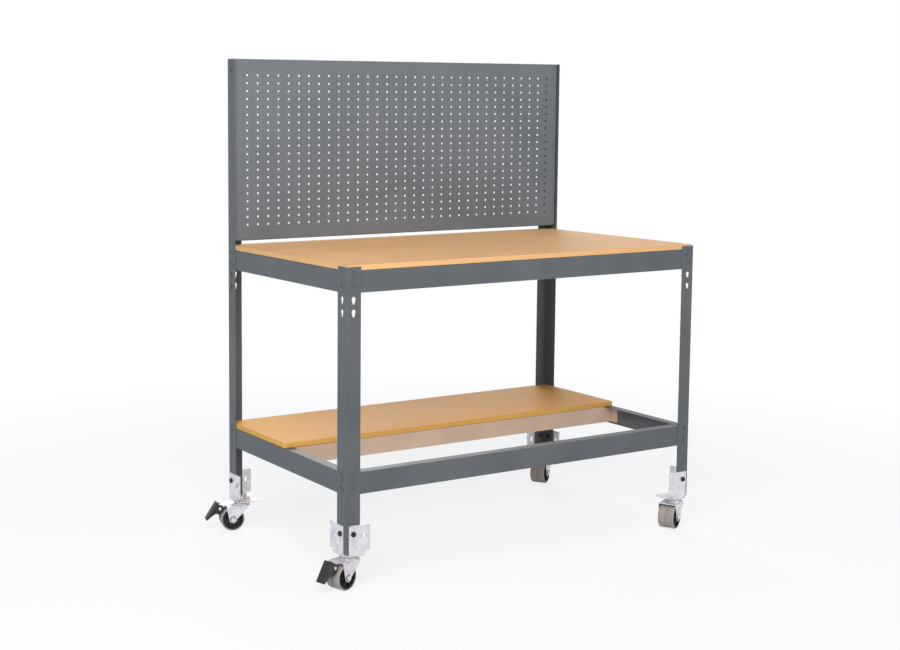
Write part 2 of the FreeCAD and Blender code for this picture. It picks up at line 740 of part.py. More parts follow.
def beam_rivet_places():
    """Two rivets through each folded end of the rail under the shelf, one above the other."""
    reach = HALF_WIDTH - size("post_gauge")
    front = HALF_DEPTH - size("post_gauge") - size("board_gap") - size("shelf_depth")
    middle = front + size("beam_inset") - size("beam_tab") / 2
    for side in (-1, 1):
        for step in (0, 1):
            height = size("lower_rail_top") - size("rivet_drop") - step * size("beam_rivet_pitch")
            yield Vector(side * reach, middle, height), Vector(side, 0, 0)


RIVET_HEIGHTS = [
    top - size("rivet_drop") - step * size("slot_pitch")
    for top in (top_of_rails, size("lower_rail_top"))
    for step in (0, 1)
]
shape_group(
    "rail_rivets",
    [
        rivet(point, outward)
        for corner in CORNERS
        for height in RIVET_HEIGHTS
        for point, outward in on_both_legs(corner, height, size("slot_inset"))
    ]
    + [rivet(point, outward) for point, outward in beam_rivet_places()],
)

HEAD_HEIGHT = 1.4  # hexagon head or nut, over the radius of its shank
HEAD_ACROSS = 3.2  # the same across its flats
BOLT_END = 2.0  # shank beyond the nut


def bolt_and_nut(place, outward, radius, grip):
    """A bolt whose head bears on a surface at place, made fast by its nut beyond the grip."""
    across, height = HEAD_ACROSS * radius, HEAD_HEIGHT * radius
    head = hexagon(across, height, place, outward)
    shank = prism(ROUND_SIDES, radius, grip + height + BOLT_END, place, outward * -1)
    nut = hexagon(across, height, place - outward * grip, outward * -1)
    return shank.fuse([head, nut])


panel_bolts = []
for bolt_place in panel_bolt_places():
    panel_grip = size("post_gauge") + size("panel_gauge")
    panel_bolts.append(
        bolt_and_nut(bolt_place, Vector(0, 1, 0), size("panel_bolt_radius"), panel_grip)
    )
shape_group("panel_bolts", panel_bolts)

# ---------------------------------------------------------------- caster brackets
# One plate per foot: two slotted flaps folded up from a kite-shaped base, with the corner left
# open so that the fold of the post shows between them.
def make_bracket(corner):
    label = corner + "_bracket"
    body = new_body(label, corner_placement(corner))
    gauge = "sizes.bracket_gauge"
    outside = "-" + gauge
    base = new_sketch(body, label + "_base", "XY_Plane", lift="sizes.bracket_base")
    side, inner = "sizes.bracket_base_side", "sizes.bracket_inner_corner"
    square = "sizes.bracket_square_end"
    outline(
        base,
        [(outside, outside), (side, outside), (side, square), (inner, inner),
         (square, side), (outside, side)],
    )
    add(body, "Pad", base, Length=gauge)
    relief, reach = "sizes.bracket_relief", "sizes.bracket_flap_reach"
    for leg, role, backwards in (("a", "XZ_Plane", False), ("b", "YZ_Plane", True)):
        flap = new_sketch(body, "%s_flap_%s" % (label, leg), role)
        outline(
            flap,
            [(outside, "sizes.bracket_base"), (side, "sizes.bracket_base"),
             (side, "sizes.bracket_flap_bottom"), (reach, "sizes.bracket_flap_bottom"),
             (reach, "sizes.bracket_top"), (outside, "sizes.bracket_top")],
        )
        add(body, "Pad", flap, backwards=backwards, Length=gauge)
    plate, low = size("bracket_gauge"), size("bracket_base")
    middle = size("bracket_base_side") / 2
    fold_in = "sizes.bracket_fold - sizes.bracket_gauge"
    for along, outer, inner in (
        (Vector(1, 0, 0), Vector(middle, -plate, low), Vector(middle, 0, low + plate)),
        (Vector(0, 1, 0), Vector(-plate, middle, low), Vector(0, middle, low + plate)),
    ):
        round_edges(body, fold_in, along, [inner])
        round_edges(body, "sizes.bracket_fold", along, [outer])
    notch = new_sketch(body, label + "_open_corner", "XY_Plane")
    clear = "-3 * " + gauge
    outline(notch, [(clear, clear), (relief, clear), (relief, relief), (clear, relief)])
    add(body, "Pocket", notch, both_ways=True, Length="3 * sizes.bracket_top")
    far = size("bracket_inner_corner")
    round_edges(body, "sizes.bracket_corner", UP, [Vector(far, far, low + plate / 2)])
    stem = new_sketch(body, label + "_stem_hole", "XY_Plane")
    circle(stem, "sizes.stem_radius", "sizes.caster_inset", "sizes.caster_inset")
    add(body, "Pocket", stem, both_ways=True, Length="3 * sizes.bracket_base")
    lower_centre = "sizes.bracket_bolt_height - sizes.bracket_slot_rise / 2"
    for leg, role in (("a", "XZ_Plane"), ("b", "YZ_Plane")):
        for place, drop in (("slot_inset", ""), ("bracket_spare_slot", " - sizes.bracket_spare_drop")):
            sketch = new_sketch(
                body, "%s_%s_%s" % (label, place, leg), role, across="sizes." + place,
                up=lower_centre + drop,
            )
            long_slot(sketch, "bracket_slot_radius", "bracket_slot_radius", "bracket_slot_rise")
            add(body, "Pocket", sketch, both_ways=True, Length="4 * " + gauge)
    return body


for frame_corner in CORNERS:
    make_bracket(frame_corner)

bracket_bolts = []
for frame_corner in CORNERS:
    for point, outward in on_both_legs(frame_corner, size("bracket_bolt_height"), size("slot_inset")):
        head_face = point + outward * size("bracket_gauge")
        bracket_grip = size("bracket_gauge") + size("post_gauge")
        bracket_bolts.append(
            bolt_and_nut(head_face, outward, size("bracket_bolt_radius"), bracket_grip)
        )
shape_group("bracket_bolts", bracket_bolts)

# ---------------------------------------------------------------- casters
# Each caster is drawn with its swivel axis on Z and its wheel trailing along +X, then turned to
# the way it points and set under its bracket. Only the two on the left have a brake.
CASTERS = {
    "front_left": (196, True),
    "rear_left": (164, True),
    "front_right": (207, False),
    "rear_right": (213, False),
}


def caster_placement(corner):
    inset = size("caster_inset")
    centre = corner_placement(corner).multVec(Vector(inset, inset, 0))
    return Placement(centre, Rotation(UP, CASTERS[corner][0]))


def wheel_placement(corner):
    """Turns an axis drawn along Z level across the fork, at the height of the axle."""
    local = Placement(
        Vector(size("wheel_trail"), 0, size("wheel_radius")), Rotation(Vector(1, 0, 0), 90)
    )
    return caster_placement(corner).multiply(local)


def turn(body, profile):
    """Makes a body a round piece: an outline of radius and height, revolved about Z."""
    sketch = new_sketch(body, body.Name + "_profile", "XZ_Plane")
    outline(sketch, profile)
    add(body, "Revolution", sketch, Angle="360")


def one_per_caster(label, profile):
    """A turned piece drawn once and set under every bracket, kept as one sub-part."""
    drawn = doc.addObject("PartDesign::Body", label + "_drawn")
    turn(drawn, profile)
    doc.recompute()
    return shape_group(
        label,
        [drawn.Shape.transformed(caster_placement(corner).toMatrix()) for corner in CASTERS],
    )


def make_kingpins():
    """Riveted stems: the head hangs the fork, the shank is nutted above the bracket."""
    head, shank = "sizes.stem_head", "sizes.stem_radius"
    seat = "sizes.fork_crown - sizes.stem_play"
    low = seat + " - sizes.stem_head_height"
    tip = "sizes.bracket_base + sizes.stem_length"
    one_per_caster(
        "kingpins",
        [("0", low), (head + " - 3", low), (head, low + " + 2"), (head, seat), (shank, seat),
         (shank, tip + " - 1"), (shank + " - 1", tip), ("0", tip)],
    )


def make_races():
    """Pressed upper races under the brackets, with the track of the balls in the lower face."""
    pin, rim = "sizes.stem_radius", "sizes.race_radius"
    low, high = "sizes.race_bottom", "sizes.bracket_base"
    inner, outer = "sizes.ball_track - 3", "sizes.ball_track + 3"
    track = "sizes.race_bottom + sizes.race_track"
    one_per_caster(
        "swivel_races",
        [(pin, low), (inner, low), (inner, track), (outer, track), (outer, low),
         (rim, low), (rim, high + " - 2"), (rim + " - 2", high), (pin, high)],
    )


def make_ball_rings():
    """Ball cages that run between the upper race and the cup of the fork."""
    middle, reach = "sizes.ball_track", "sizes.ball_radius"
    top = "sizes.race_bottom + sizes.race_track"
    one_per_caster(
        "ball_rings",
        [(middle + " - " + reach + " + 1", top), (middle + " - " + reach, top + " - " + reach),
         (middle + " - " + reach + " + 1", top + " - 2 * " + reach),
         (middle + " + " + reach + " - 1", top + " - 2 * " + reach),
         (middle + " + " + reach, top + " - " + reach), (middle + " + " + reach + " - 1", top)],
    )


def make_fork(corner, braked):
    """Pressed fork: a crown with the ball cup and two tapered legs, and on a braked one a narrow
    tongue behind the crown whose ears carry the pedal."""
    label = corner + "_fork"
    body = new_body(label, caster_placement(corner))
    gauge, crown = "sizes.fork_gauge", "sizes.fork_crown"
    half = "(sizes.fork_inside / 2 + sizes.fork_gauge)"
    inside = "sizes.fork_inside / 2"
    nose, rear = "-sizes.fork_nose", "sizes.fork_tail"
    front = "sizes.fork_corner - sizes.fork_nose"
    plan = new_sketch(body, label + "_crown", "XY_Plane", lift=crown)
    narrow = "(%s - sizes.fork_corner)" % half
    outline(
        plan,
        [(nose, "-" + narrow), (front, "-" + half), (rear, "-" + half),
         (rear, half), (front, half), (nose, narrow)],
    )
    add(body, "Pad", plan, Length=gauge)
    axle, height, boss = "sizes.wheel_trail", "sizes.wheel_radius", "sizes.fork_boss"
    top, skirt = crown + " + " + gauge, "sizes.fork_crown - sizes.fork_skirt"
    for side, backwards in (("near", False), ("far", True)):
        lift = inside if side == "near" else "-" + inside
        leg = new_sketch(body, "%s_%s_leg" % (label, side), "XZ_Plane", lift=lift)
        outline(
            leg,
            [(front, top), (front, skirt), (axle + " - " + boss, height),
             (axle + " + " + boss, height), (rear, skirt), (rear, top)],
        )
        add(body, "Pad", leg, backwards=backwards, Length=gauge)
        foot = new_sketch(body, "%s_%s_foot" % (label, side), "XZ_Plane", lift=lift)
        circle(foot, boss, axle, height)
        add(body, "Pad", foot, backwards=backwards, Length=gauge)
    width = size("fork_inside") / 2 + size("fork_gauge")
    ridge = size("fork_crown") + size("fork_gauge")
    folds = [Vector(size("wheel_trail"), side * width, ridge) for side in (-1, 1)]
    round_edges(body, "sizes.fork_fold", Vector(1, 0, 0), folds)
    cup = new_sketch(body, label + "_cup", "XZ_Plane")
    bore = "sizes.stem_radius + sizes.running_clearance"
    rim, low, lip = "sizes.cup_radius", crown + " + 1", "sizes.cup_top"
    wall = "sizes.ball_track + 3.5"
    ball_foot = "sizes.race_bottom + sizes.race_track - 2 * sizes.ball_radius"
    floor = ball_foot + " - sizes.cup_floor_play"
    outline(cup, [(bore, low), (rim, low), (rim, lip), (wall, lip), (wall, floor), (bore, floor)])
    add(body, "Revolution", cup, Angle="360")
    if braked:
        add_tongue(body, label)
    pin_hole = new_sketch(body, label + "_kingpin_bore", "XY_Plane", lift=crown)
    circle(pin_hole, bore)
    add(body, "Pocket", pin_hole, both_ways=True, Length="2 * sizes.cup_radius")
    cross = new_sketch(body, label + "_cross_holes", "XZ_Plane")
    circle(cross, "sizes.axle_radius", axle, height)
    if braked:
        circle(cross, "sizes.brake_pin_radius", "sizes.brake_pin_back", "sizes.brake_pin_height")
    add(body, "Pocket", cross, both_ways=True, Length="2 * sizes.fork_inside")
    return body


def add_tongue(body, label):
    """The narrow end of a crown, with an ear folded down on each side round the pedal pin."""
    pin, ear = "sizes.brake_pin_back", "sizes.tongue_ear"
    height, rear = "sizes.brake_pin_height", "sizes.fork_tail"
    top = "sizes.fork_crown + sizes.fork_gauge"
    root, tail = rear + " - 1", "%s + %s" % (pin, ear)
    half = "sizes.tongue_width / 2"
    strip = new_sketch(body, label + "_tongue", "XY_Plane", lift="sizes.fork_crown")
    outline(strip, [(root, "-" + half), (tail, "-" + half), (tail, half), (root, half)])
    add(body, "Pad", strip, Length="sizes.fork_gauge")
    for side, lift, backwards in (("near", half, True), ("far", "-" + half, False)):
        fold = new_sketch(body, "%s_%s_ear" % (label, side), "XZ_Plane", lift=lift)
        outline(
            fold,
            [(root, top), (root, "sizes.fork_crown - 1"), ("%s - %s" % (pin, ear), height),
             (tail, height), (tail, top)],
        )
        add(body, "Pad", fold, backwards=backwards, Length="sizes.fork_gauge")
        end = new_sketch(body, "%s_%s_ear_end" % (label, side), "XZ_Plane", lift=lift)
        circle(end, ear, pin, height)
        add(body, "Pad", end, backwards=backwards, Length="sizes.fork_gauge")


def make_axle(corner):
    """Bolt through the feet of the fork, with its nut on the inner side."""
    outside = size("fork_inside") / 2 + size("fork_gauge")
    radius, height = size("axle_radius"), size("axle_head")
    across = HEAD_ACROSS * radius
    start = Vector(0, 0, -outside - height)
    shank = Part.makeCylinder(radius, 2 * outside + height, start)
    head = hexagon(across, height, Vector(0, 0, outside), UP)
    nut = hexagon(across, height, start, UP)
    axle = doc.addObject("Part::Feature", corner + "_axle")
    axle.Shape = shank.fuse([head, nut]).removeSplitter()
    keep(axle, corner + "_axle", wheel_placement(corner))


def both_sides(points):
    """An outline given for the upper half of a turned piece, closed by its mirror image."""
    lower = [(across, "-(%s)" % up if up != "0" else "0") for across, up in reversed(points)]
    return points + lower


def make_wheel(corner):
    """Moulded core: hub, dished webs and the rim under the tread."""
    bore = "sizes.axle_radius + sizes.running_clearance"
    rim = "sizes.wheel_radius - sizes.tread_thickness"
    inside = rim + " - sizes.wheel_rim"
    end = "sizes.fork_inside / 2 - sizes.hub_play"
    edge = "sizes.wheel_width / 2"
    web = edge + " - sizes.wheel_dish"
    turn(
        new_body(corner + "_wheel", wheel_placement(corner)),
        both_sides(
            [(rim, edge), (inside, edge), (inside, web), ("sizes.wheel_hub", web),
             ("sizes.wheel_hub", end), (bore, end)]
        )[::-1],
    )


def make_tyre(corner):
    """Rubber moulded on the core as two treads with a groove between them."""
    rim, tread = "sizes.wheel_radius - sizes.tread_thickness", "sizes.wheel_radius"
    edge, groove = "sizes.wheel_width / 2", "sizes.tread_groove / 2"
    shoulder = "sizes.tread_shoulder"
    turn(
        new_body(corner + "_tyre", wheel_placement(corner)),
        both_sides(
            [(rim + " + sizes.tread_floor", groove), (tread, groove),
             (tread, edge + " - 1.4 * " + shoulder), (tread + " - " + shoulder, edge), (rim, edge)]
        )[::-1],
    )


def make_pedal(corner):
    """Brake pedal: two cheeks outside the ears of the tongue, a treadle that slopes down from
    them, and a shoe under the pin that meets the treads when the treadle is pressed."""
    label = corner + "_brake_pedal"
    body = new_body(label, caster_placement(corner))
    pin_x, pin_z = "sizes.brake_pin_back", "sizes.brake_pin_height"

    def at(across, up):
        """A point of the pedal's profile, measured from its pin."""
        return ("%s + %g" % (pin_x, across), "%s + %g" % (pin_z, up))

    half = "sizes.pedal_width / 2"
    inner = "(sizes.tongue_width / 2 + sizes.pedal_play)"
    treadle = new_sketch(body, label + "_treadle", "XZ_Plane", lift="-" + half)
    outline(treadle, [at(7, 17), at(11, 20), at(47, -36), at(44, -39)])
    add(body, "Pad", treadle, Length="sizes.pedal_width")
    shoe = new_sketch(body, label + "_shoe", "XZ_Plane", lift="-" + half)
    outline(shoe, [at(-6, -9.5), at(-4.2, -16.8), at(6, -21), at(13, -16), at(9, -9.5)])
    add(body, "Pad", shoe, Length="sizes.pedal_width")
    for side, lift, backwards in (("near", half, True), ("far", "-" + half, False)):
        rib = new_sketch(body, "%s_%s_rib" % (label, side), "XZ_Plane", lift=lift)
        outline(rib, [at(-4, 11), at(8, 17), at(37, -28), at(30, -27), at(12, -16), at(-4, -11)])
        add(body, "Pad", rib, backwards=backwards, Length="%s - %s" % (half, inner))
        cheek = new_sketch(body, "%s_%s_cheek" % (label, side), "XZ_Plane", lift=lift)
        circle(cheek, "sizes.pedal_hub", pin_x, pin_z)
        add(body, "Pad", cheek, backwards=backwards, Length="%s - %s" % (half, inner))
    bore = new_sketch(body, label + "_bore", "XZ_Plane")
    circle(bore, "sizes.brake_pin_radius + sizes.running_clearance", pin_x, pin_z)
    add(body, "Pocket", bore, both_ways=True, Length="2 * sizes.pedal_width")
    return body


def make_pedal_pin(corner):
    """Steel pin through the ears of the tongue, headed outside the cheeks of the pedal."""
    local = Placement(
        Vector(size("brake_pin_back"), 0, size("brake_pin_height")), Rotation(Vector(1, 0, 0), 90)
    )
    body = new_body(corner + "_pedal_pin", caster_placement(corner).multiply(local))
    pin, head = "sizes.brake_pin_radius", "sizes.brake_pin_head"
    seat = "sizes.pedal_width / 2 + sizes.pedal_play"
    end = seat + " + sizes.brake_pin_head_height"
    turn(body, both_sides([("0", end), (head, end), (head, seat), (pin, seat)])[::-1])


make_kingpins()
make_races()
make_ball_rings()
stem_nuts = []
for caster_corner, (heading, has_brake) in CASTERS.items():
    make_fork(caster_corner, has_brake)
    make_axle(caster_corner)
    make_wheel(caster_corner)
    make_tyre(caster_corner)
    if has_brake:
        make_pedal(caster_corner)
        make_pedal_pin(caster_corner)
    nut_seat = caster_placement(caster_corner).Base
    nut_seat.z = size("bracket_base") + size("bracket_gauge")
    nut_height = size("stem_nut_height")
    stem_bore = Part.makeCylinder(size("stem_radius"), nut_height, nut_seat)
    stem_nuts.append(hexagon(size("stem_nut_across"), nut_height, nut_seat, UP).cut(stem_bore))
shape_group("stem_nuts", stem_nuts)

# ---------------------------------------------------------------- check and write
doc.recompute()
for item in doc.Objects:
    if "Invalid" in item.State or "Error" in item.State:
        raise RuntimeError("%s failed to recompute" % item.Label)
for sub_part in SUB_PARTS:
    if sub_part.Shape.isNull() or not sub_part.Shape.isValid():
        raise RuntimeError("%s has no valid shape" % sub_part.Label)
os.makedirs("parts", exist_ok=True)
for sub_part in SUB_PARTS:
    sub_part.Shape.exportStep("parts/%s.step" % sub_part.Label)
print("%d sub-parts written" % len(SUB_PARTS))
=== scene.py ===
import json
import math

import bmesh
import bpy
from mathutils import Matrix, Vector


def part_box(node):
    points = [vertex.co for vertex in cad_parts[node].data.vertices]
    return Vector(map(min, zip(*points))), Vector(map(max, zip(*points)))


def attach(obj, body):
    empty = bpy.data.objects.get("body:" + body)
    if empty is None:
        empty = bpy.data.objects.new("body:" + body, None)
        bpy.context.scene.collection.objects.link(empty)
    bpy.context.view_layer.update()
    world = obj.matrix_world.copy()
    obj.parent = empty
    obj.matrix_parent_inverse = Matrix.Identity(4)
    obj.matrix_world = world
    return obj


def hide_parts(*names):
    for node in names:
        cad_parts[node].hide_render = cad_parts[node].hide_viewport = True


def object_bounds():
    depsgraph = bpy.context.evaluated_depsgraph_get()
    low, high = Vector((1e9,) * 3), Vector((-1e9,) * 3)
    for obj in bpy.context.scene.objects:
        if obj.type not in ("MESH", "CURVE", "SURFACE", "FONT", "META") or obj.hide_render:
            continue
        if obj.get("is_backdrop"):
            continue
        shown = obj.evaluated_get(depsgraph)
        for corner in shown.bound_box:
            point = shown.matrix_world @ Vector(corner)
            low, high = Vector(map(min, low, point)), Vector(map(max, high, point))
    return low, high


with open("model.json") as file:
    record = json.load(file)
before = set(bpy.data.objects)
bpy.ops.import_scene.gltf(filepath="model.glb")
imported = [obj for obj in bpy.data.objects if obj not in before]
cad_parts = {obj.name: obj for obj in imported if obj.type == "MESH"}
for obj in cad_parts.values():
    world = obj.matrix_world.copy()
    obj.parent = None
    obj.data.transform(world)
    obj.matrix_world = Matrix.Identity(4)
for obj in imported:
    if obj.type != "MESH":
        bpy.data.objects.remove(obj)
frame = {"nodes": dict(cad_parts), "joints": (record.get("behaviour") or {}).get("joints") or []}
cad_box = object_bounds()

# ---- Posts ------------------------------------------------------------------------------------
# Four angles of 2 mm steel, punched with teardrop slots, folded and baked in blue-grey enamel.
# They keep their imported shape. The enamel is a little thicker in some places, and a highlight is
# painted along its edges.
CORNERS = ("front_left", "front_right", "rear_right", "rear_left")
POST_BLUE = (93, 97, 101)
POST_SHADE = (83, 88, 93)
# pale colour of the flecks, and of the highlight painted along folded and sheared edges
EDGE_SHEEN = (146, 150, 154)
ENAMEL_EDGE = 0.0012
ORANGE_PEEL = 0.00006


class Wire:
    """One output socket of a finish. Arithmetic on it adds Math nodes."""

    def __init__(self, tree, socket):
        self.tree = tree
        self.socket = socket

    def node(self, kind, settings=None, sockets=None, out=0):
        made = self.tree.nodes.new(kind)
        for name, value in (settings or {}).items():
            setattr(made, name, value)
        for name, value in (sockets or {}).items():
            if isinstance(value, Wire):
                self.tree.links.new(value.socket, made.inputs[name])
            else:
                made.inputs[name].default_value = value
        return Wire(self.tree, made.outputs[out])

    def maths(self, operation, first, second):
        return self.node("ShaderNodeMath", {"operation": operation}, {0: first, 1: second})

    def __add__(self, other):
        return self.maths("ADD", self, other)

    def __rsub__(self, other):
        return self.maths("SUBTRACT", other, self)

    def __mul__(self, other):
        return self.maths("MULTIPLY", self, other)

    __radd__ = __add__
    __rmul__ = __mul__

    def held(self):
        """The same value, held between 0 and 1."""
        return self.node("ShaderNodeClamp", None, {"Value": self})

    def larger(self, other):
        """Whichever of two values is the larger."""
        return self.maths("MAXIMUM", self, other)

    def step(self, low, high):
        """0 below low, 1 above high, and smooth between them."""
        return self.node(
            "ShaderNodeMapRange",
            {"interpolation_type": "SMOOTHSTEP"},
            {"Value": self, "From Min": low, "From Max": high},
        )

    def colour(self, low, high):
        """A colour between two, with this value as the share of the second."""
        return self.node("ShaderNodeMix", {"data_type": "RGBA"}, {0: self, 6: low, 7: high}, out=2)

    def stretched(self, along, across, up):
        """This place with each of its three directions scaled."""
        scales = (along, across, up)
        return self.node("ShaderNodeVectorMath", {"operation": "MULTIPLY"}, {0: self, 1: scales})

    def noise(self, scale, detail=3.0):
        """Soft clouds of 0 to 1, so many to a metre."""
        sockets = {"Vector": self, "Scale": scale, "Detail": detail}
        return self.node("ShaderNodeTexNoise", None, sockets)

    def into(self, name):
        """Feeds a socket of the finish's own shader."""
        self.tree.links.new(self.socket, self.tree.nodes["Principled BSDF"].inputs[name])


def tint(red, green, blue):
    """A colour given as it shows on a screen, as the linear light that a socket takes."""
    shares = (red / 255, green / 255, blue / 255)
    linear = [s / 12.92 if s < 0.04045 else ((s + 0.055) / 1.055) ** 2.4 for s in shares]
    return (*linear, 1.0)


def new_finish(name, **constants):
    """A material with the unchanging values of its shader, and the wire of places on the piece."""
    finish = bpy.data.materials.new(name)
    finish.use_nodes = True
    shader = finish.node_tree.nodes["Principled BSDF"]
    for socket, value in constants.items():
        shader.inputs[socket.replace("_", " ")].default_value = value
    places = finish.node_tree.nodes.new("ShaderNodeTexCoord")
    return finish, Wire(finish.node_tree, places.outputs["Object"])


def edge_mask_and_normal(place, reach):
    """1 along the edges of a piece and 0 on its faces, with the normal that rounds those edges."""
    soft = place.node("ShaderNodeBevel", {"samples": 6}, {"Radius": reach})
    flat = place.node("ShaderNodeNewGeometry", out="Normal")
    product = {"operation": "DOT_PRODUCT"}
    agree = place.node("ShaderNodeVectorMath", product, {0: soft, 1: flat}, out=1)
    return (1 - agree).step(0.02, 0.3), soft


def relief(height, depth, normal):
    """Feeds a height, in metres at most as deep as given, to the normal of the finish."""
    sockets = {"Strength": 1.0, "Distance": depth, "Height": height, "Normal": normal}
    height.node("ShaderNodeBump", None, sockets).into("Normal")


def enamel(name, colour, shade, edge, gloss=0.34):
    """Baked enamel: faint clouds of colour, orange peel, and a painted highlight along its edges.
    """
    finish, place = new_finish(name, Metallic=0.0, IOR=1.38)
    edges, normal = edge_mask_and_normal(place, ENAMEL_EDGE)
    clouds = place.noise(5.0, 4.0).step(0.3, 0.7)
    flecks = place.noise(1500.0, 2.0).step(0.55, 0.75)
    paint = clouds.colour(tint(*shade), tint(*colour))
    paint = (flecks * 0.12).colour(paint, tint(*edge))
    # edges lightened toward the edge colour: a painted highlight
    (edges * 0.55).colour(paint, tint(*edge)).into("Base Color")
    (gloss + 0.12 * place.noise(22.0) + 0.08 * clouds).into("Roughness")
    relief(place.noise(650.0, 2.0), ORANGE_PEEL, normal)
    return finish


frame_enamel = enamel("frame_enamel", POST_BLUE, POST_SHADE, EDGE_SHEEN)


def dress(finish, *nodes):
    """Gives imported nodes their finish."""
    for node in nodes:
        for holder in frame["nodes"][node].material_slots:
            holder.material = finish


dress(frame_enamel, *[corner + "_post" for corner in CORNERS])

# ---- Rails ------------------------------------------------------------------------------------
# Eight angles of 2 mm steel whose upright legs lie inside the posts' flanges and whose level legs
# carry the boards. They are pressed on a brake, cut off square, and enamelled with the posts.
for side in ("front", "right", "rear", "left"):
    dress(frame_enamel, "top_%s_rail" % side, "lower_%s_rail" % side)

# ---- Rivets -----------------------------------------------------------------------------------
# Steel rivets fixed in the ends of the rails lock into the narrow ends of the slots. Their heads
# are domed, and enamelled with the frame.
RIVET_HEAD_HEIGHT = 0.0018
RIVET_HEAD_EDGE = 0.00045
RIVET_HEAD = 0.0065
RIVET_SHANK = 0.004
RIVET_SIDES = 20
DOME_STEPS = 5
CREASE = math.radians(32)


def solids(node):
    """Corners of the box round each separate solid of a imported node."""
    copy = bmesh.new()
    copy.from_mesh(frame["nodes"][node].data)
    bmesh.ops.remove_doubles(copy, verts=copy.verts, dist=1e-6)
    waiting = set(copy.verts)
    while waiting:
        edge_of_search = [waiting.pop()]
        found = []
        while edge_of_search:
            vertex = edge_of_search.pop()
            found.append(vertex.co.copy())
            for edge in vertex.link_edges:
                other = edge.other_vert(vertex)
                if other in waiting:
                    waiting.remove(other)
                    edge_of_search.append(other)
        low, high = (Vector(pick(p[i] for p in found) for i in range(3)) for pick in (min, max))
        yield low, high
    copy.free()


def outward_places(node, pick):
    """For each fastener of a node, the middle of its outer end, its length, and its place there.
    The long or the short side of its box, as picked, points out of the table."""
    for low, high in solids(node):
        span, middle = high - low, (low + high) / 2
        axis = list(span).index(pick(span))
        out = Vector([0, 0, 0])
        out[axis] = math.copysign(1, middle[axis])
        end = middle + out * span[axis] / 2
        turn = out.to_track_quat("Z", "X").to_matrix().to_4x4()
        yield Matrix.Translation(end) @ turn, span[axis]


def lathe(shape, place, outline, sides=24, closed=False):
    """Adds a turned solid: points of radius and height, spun about the Z of its place. A radius
    may be a function of the angle instead of a number."""
    rings = []
    for radius, height in outline:
        if radius == 0:
            rings.append([shape.verts.new(place @ Vector((0, 0, height)))])
            continue
        ring = []
        for k in range(sides):
            angle = 2 * math.pi * k / sides
            reach = radius(angle) if callable(radius) else radius
            point = Vector((reach * math.cos(angle), reach * math.sin(angle), height))
            ring.append(shape.verts.new(place @ point))
        rings.append(ring)
    for low, high in zip(rings, rings[1:] + rings[:1] if closed else rings[1:]):
        for k in range(sides):
            following = (k + 1) % sides
            face = [low[k % len(low)], low[following % len(low)],
                    high[following % len(high)], high[k % len(high)]]
            shape.faces.new(dict.fromkeys(face))


def make_piece(shape, name, finish, slot, body, *replaced):
    """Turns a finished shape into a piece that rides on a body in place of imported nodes."""
    bmesh.ops.recalc_face_normals(shape, faces=shape.faces)
    mesh = bpy.data.meshes.new(name)
    shape.to_mesh(mesh)
    shape.free()
    mesh.polygons.foreach_set("use_smooth", [True] * len(mesh.polygons))
    mesh.set_sharp_from_angle(angle=CREASE)
    mesh.materials.append(finish)
    piece = bpy.data.objects.new(name, mesh)
    bpy.context.collection.objects.link(piece)
    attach(piece, body)
    if replaced:
        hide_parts(*replaced)
    return piece


rivets = bmesh.new()
dome = []
for k in range(DOME_STEPS):
    climb = math.radians(90 * k / DOME_STEPS)
    drop = (RIVET_HEAD_HEIGHT - RIVET_HEAD_EDGE) * (1 - math.sin(climb))
    dome.append((RIVET_HEAD * math.cos(climb), -drop))
for place, length in outward_places("rail_rivets", min):
    shank = [(0, -length), (RIVET_SHANK, -length), (RIVET_SHANK, -RIVET_HEAD_HEIGHT),
             (RIVET_HEAD, -RIVET_HEAD_HEIGHT)]
    lathe(rivets, place, shank + dome + [(0, 0)], RIVET_SIDES)
make_piece(rivets, "domed_rivets", frame_enamel, "frame_enamel", "table", "rail_rivets")

# ---- Rail under the front of the shelf --------------------------------------------------------
# A lighter angle than the others, enamelled pale beige, which stiffens the free front edge of the
# shelf. Its ends are folded forward under the ledges of the side rails and riveted to those rails.
BEAM_BEIGE = (210, 183, 161)
BEAM_SHADE = (197, 169, 148)
# pale colour of the flecks, and of the highlight painted along the beam's edges
BEAM_EDGE = (226, 206, 188)
beam_enamel = enamel("beam_enamel", BEAM_BEIGE, BEAM_SHADE, BEAM_EDGE, 0.38)
dress(beam_enamel, "shelf_front_rail")

# ---- Worktop and shelf ------------------------------------------------------------------------
# 16 mm particle board lying loose on the ledges of the rails, sawn square and sanded, with its
# corners rounded to clear the folds of the posts. Fine chips show on the faces, coarse on edges.
BOARD_CORNER = 0.005
BOARD_ARRIS = 0.0009
CORNER_STEPS = 6
CHIP_LENGTHS, CHIP_WIDTHS = 120.0, 420.0
BOARD_EDGE = 0.0012
CHIP_DEPTH = 0.0004
TOP_TAN, TOP_TAN_DARK, TOP_EDGE = (241, 191, 136), (221, 168, 113), (206, 160, 92)
SHELF_TAN, SHELF_TAN_DARK, SHELF_EDGE = (226, 171, 84), (206, 148, 65), (212, 161, 74)
RESIN_BROWN = (142, 99, 60)


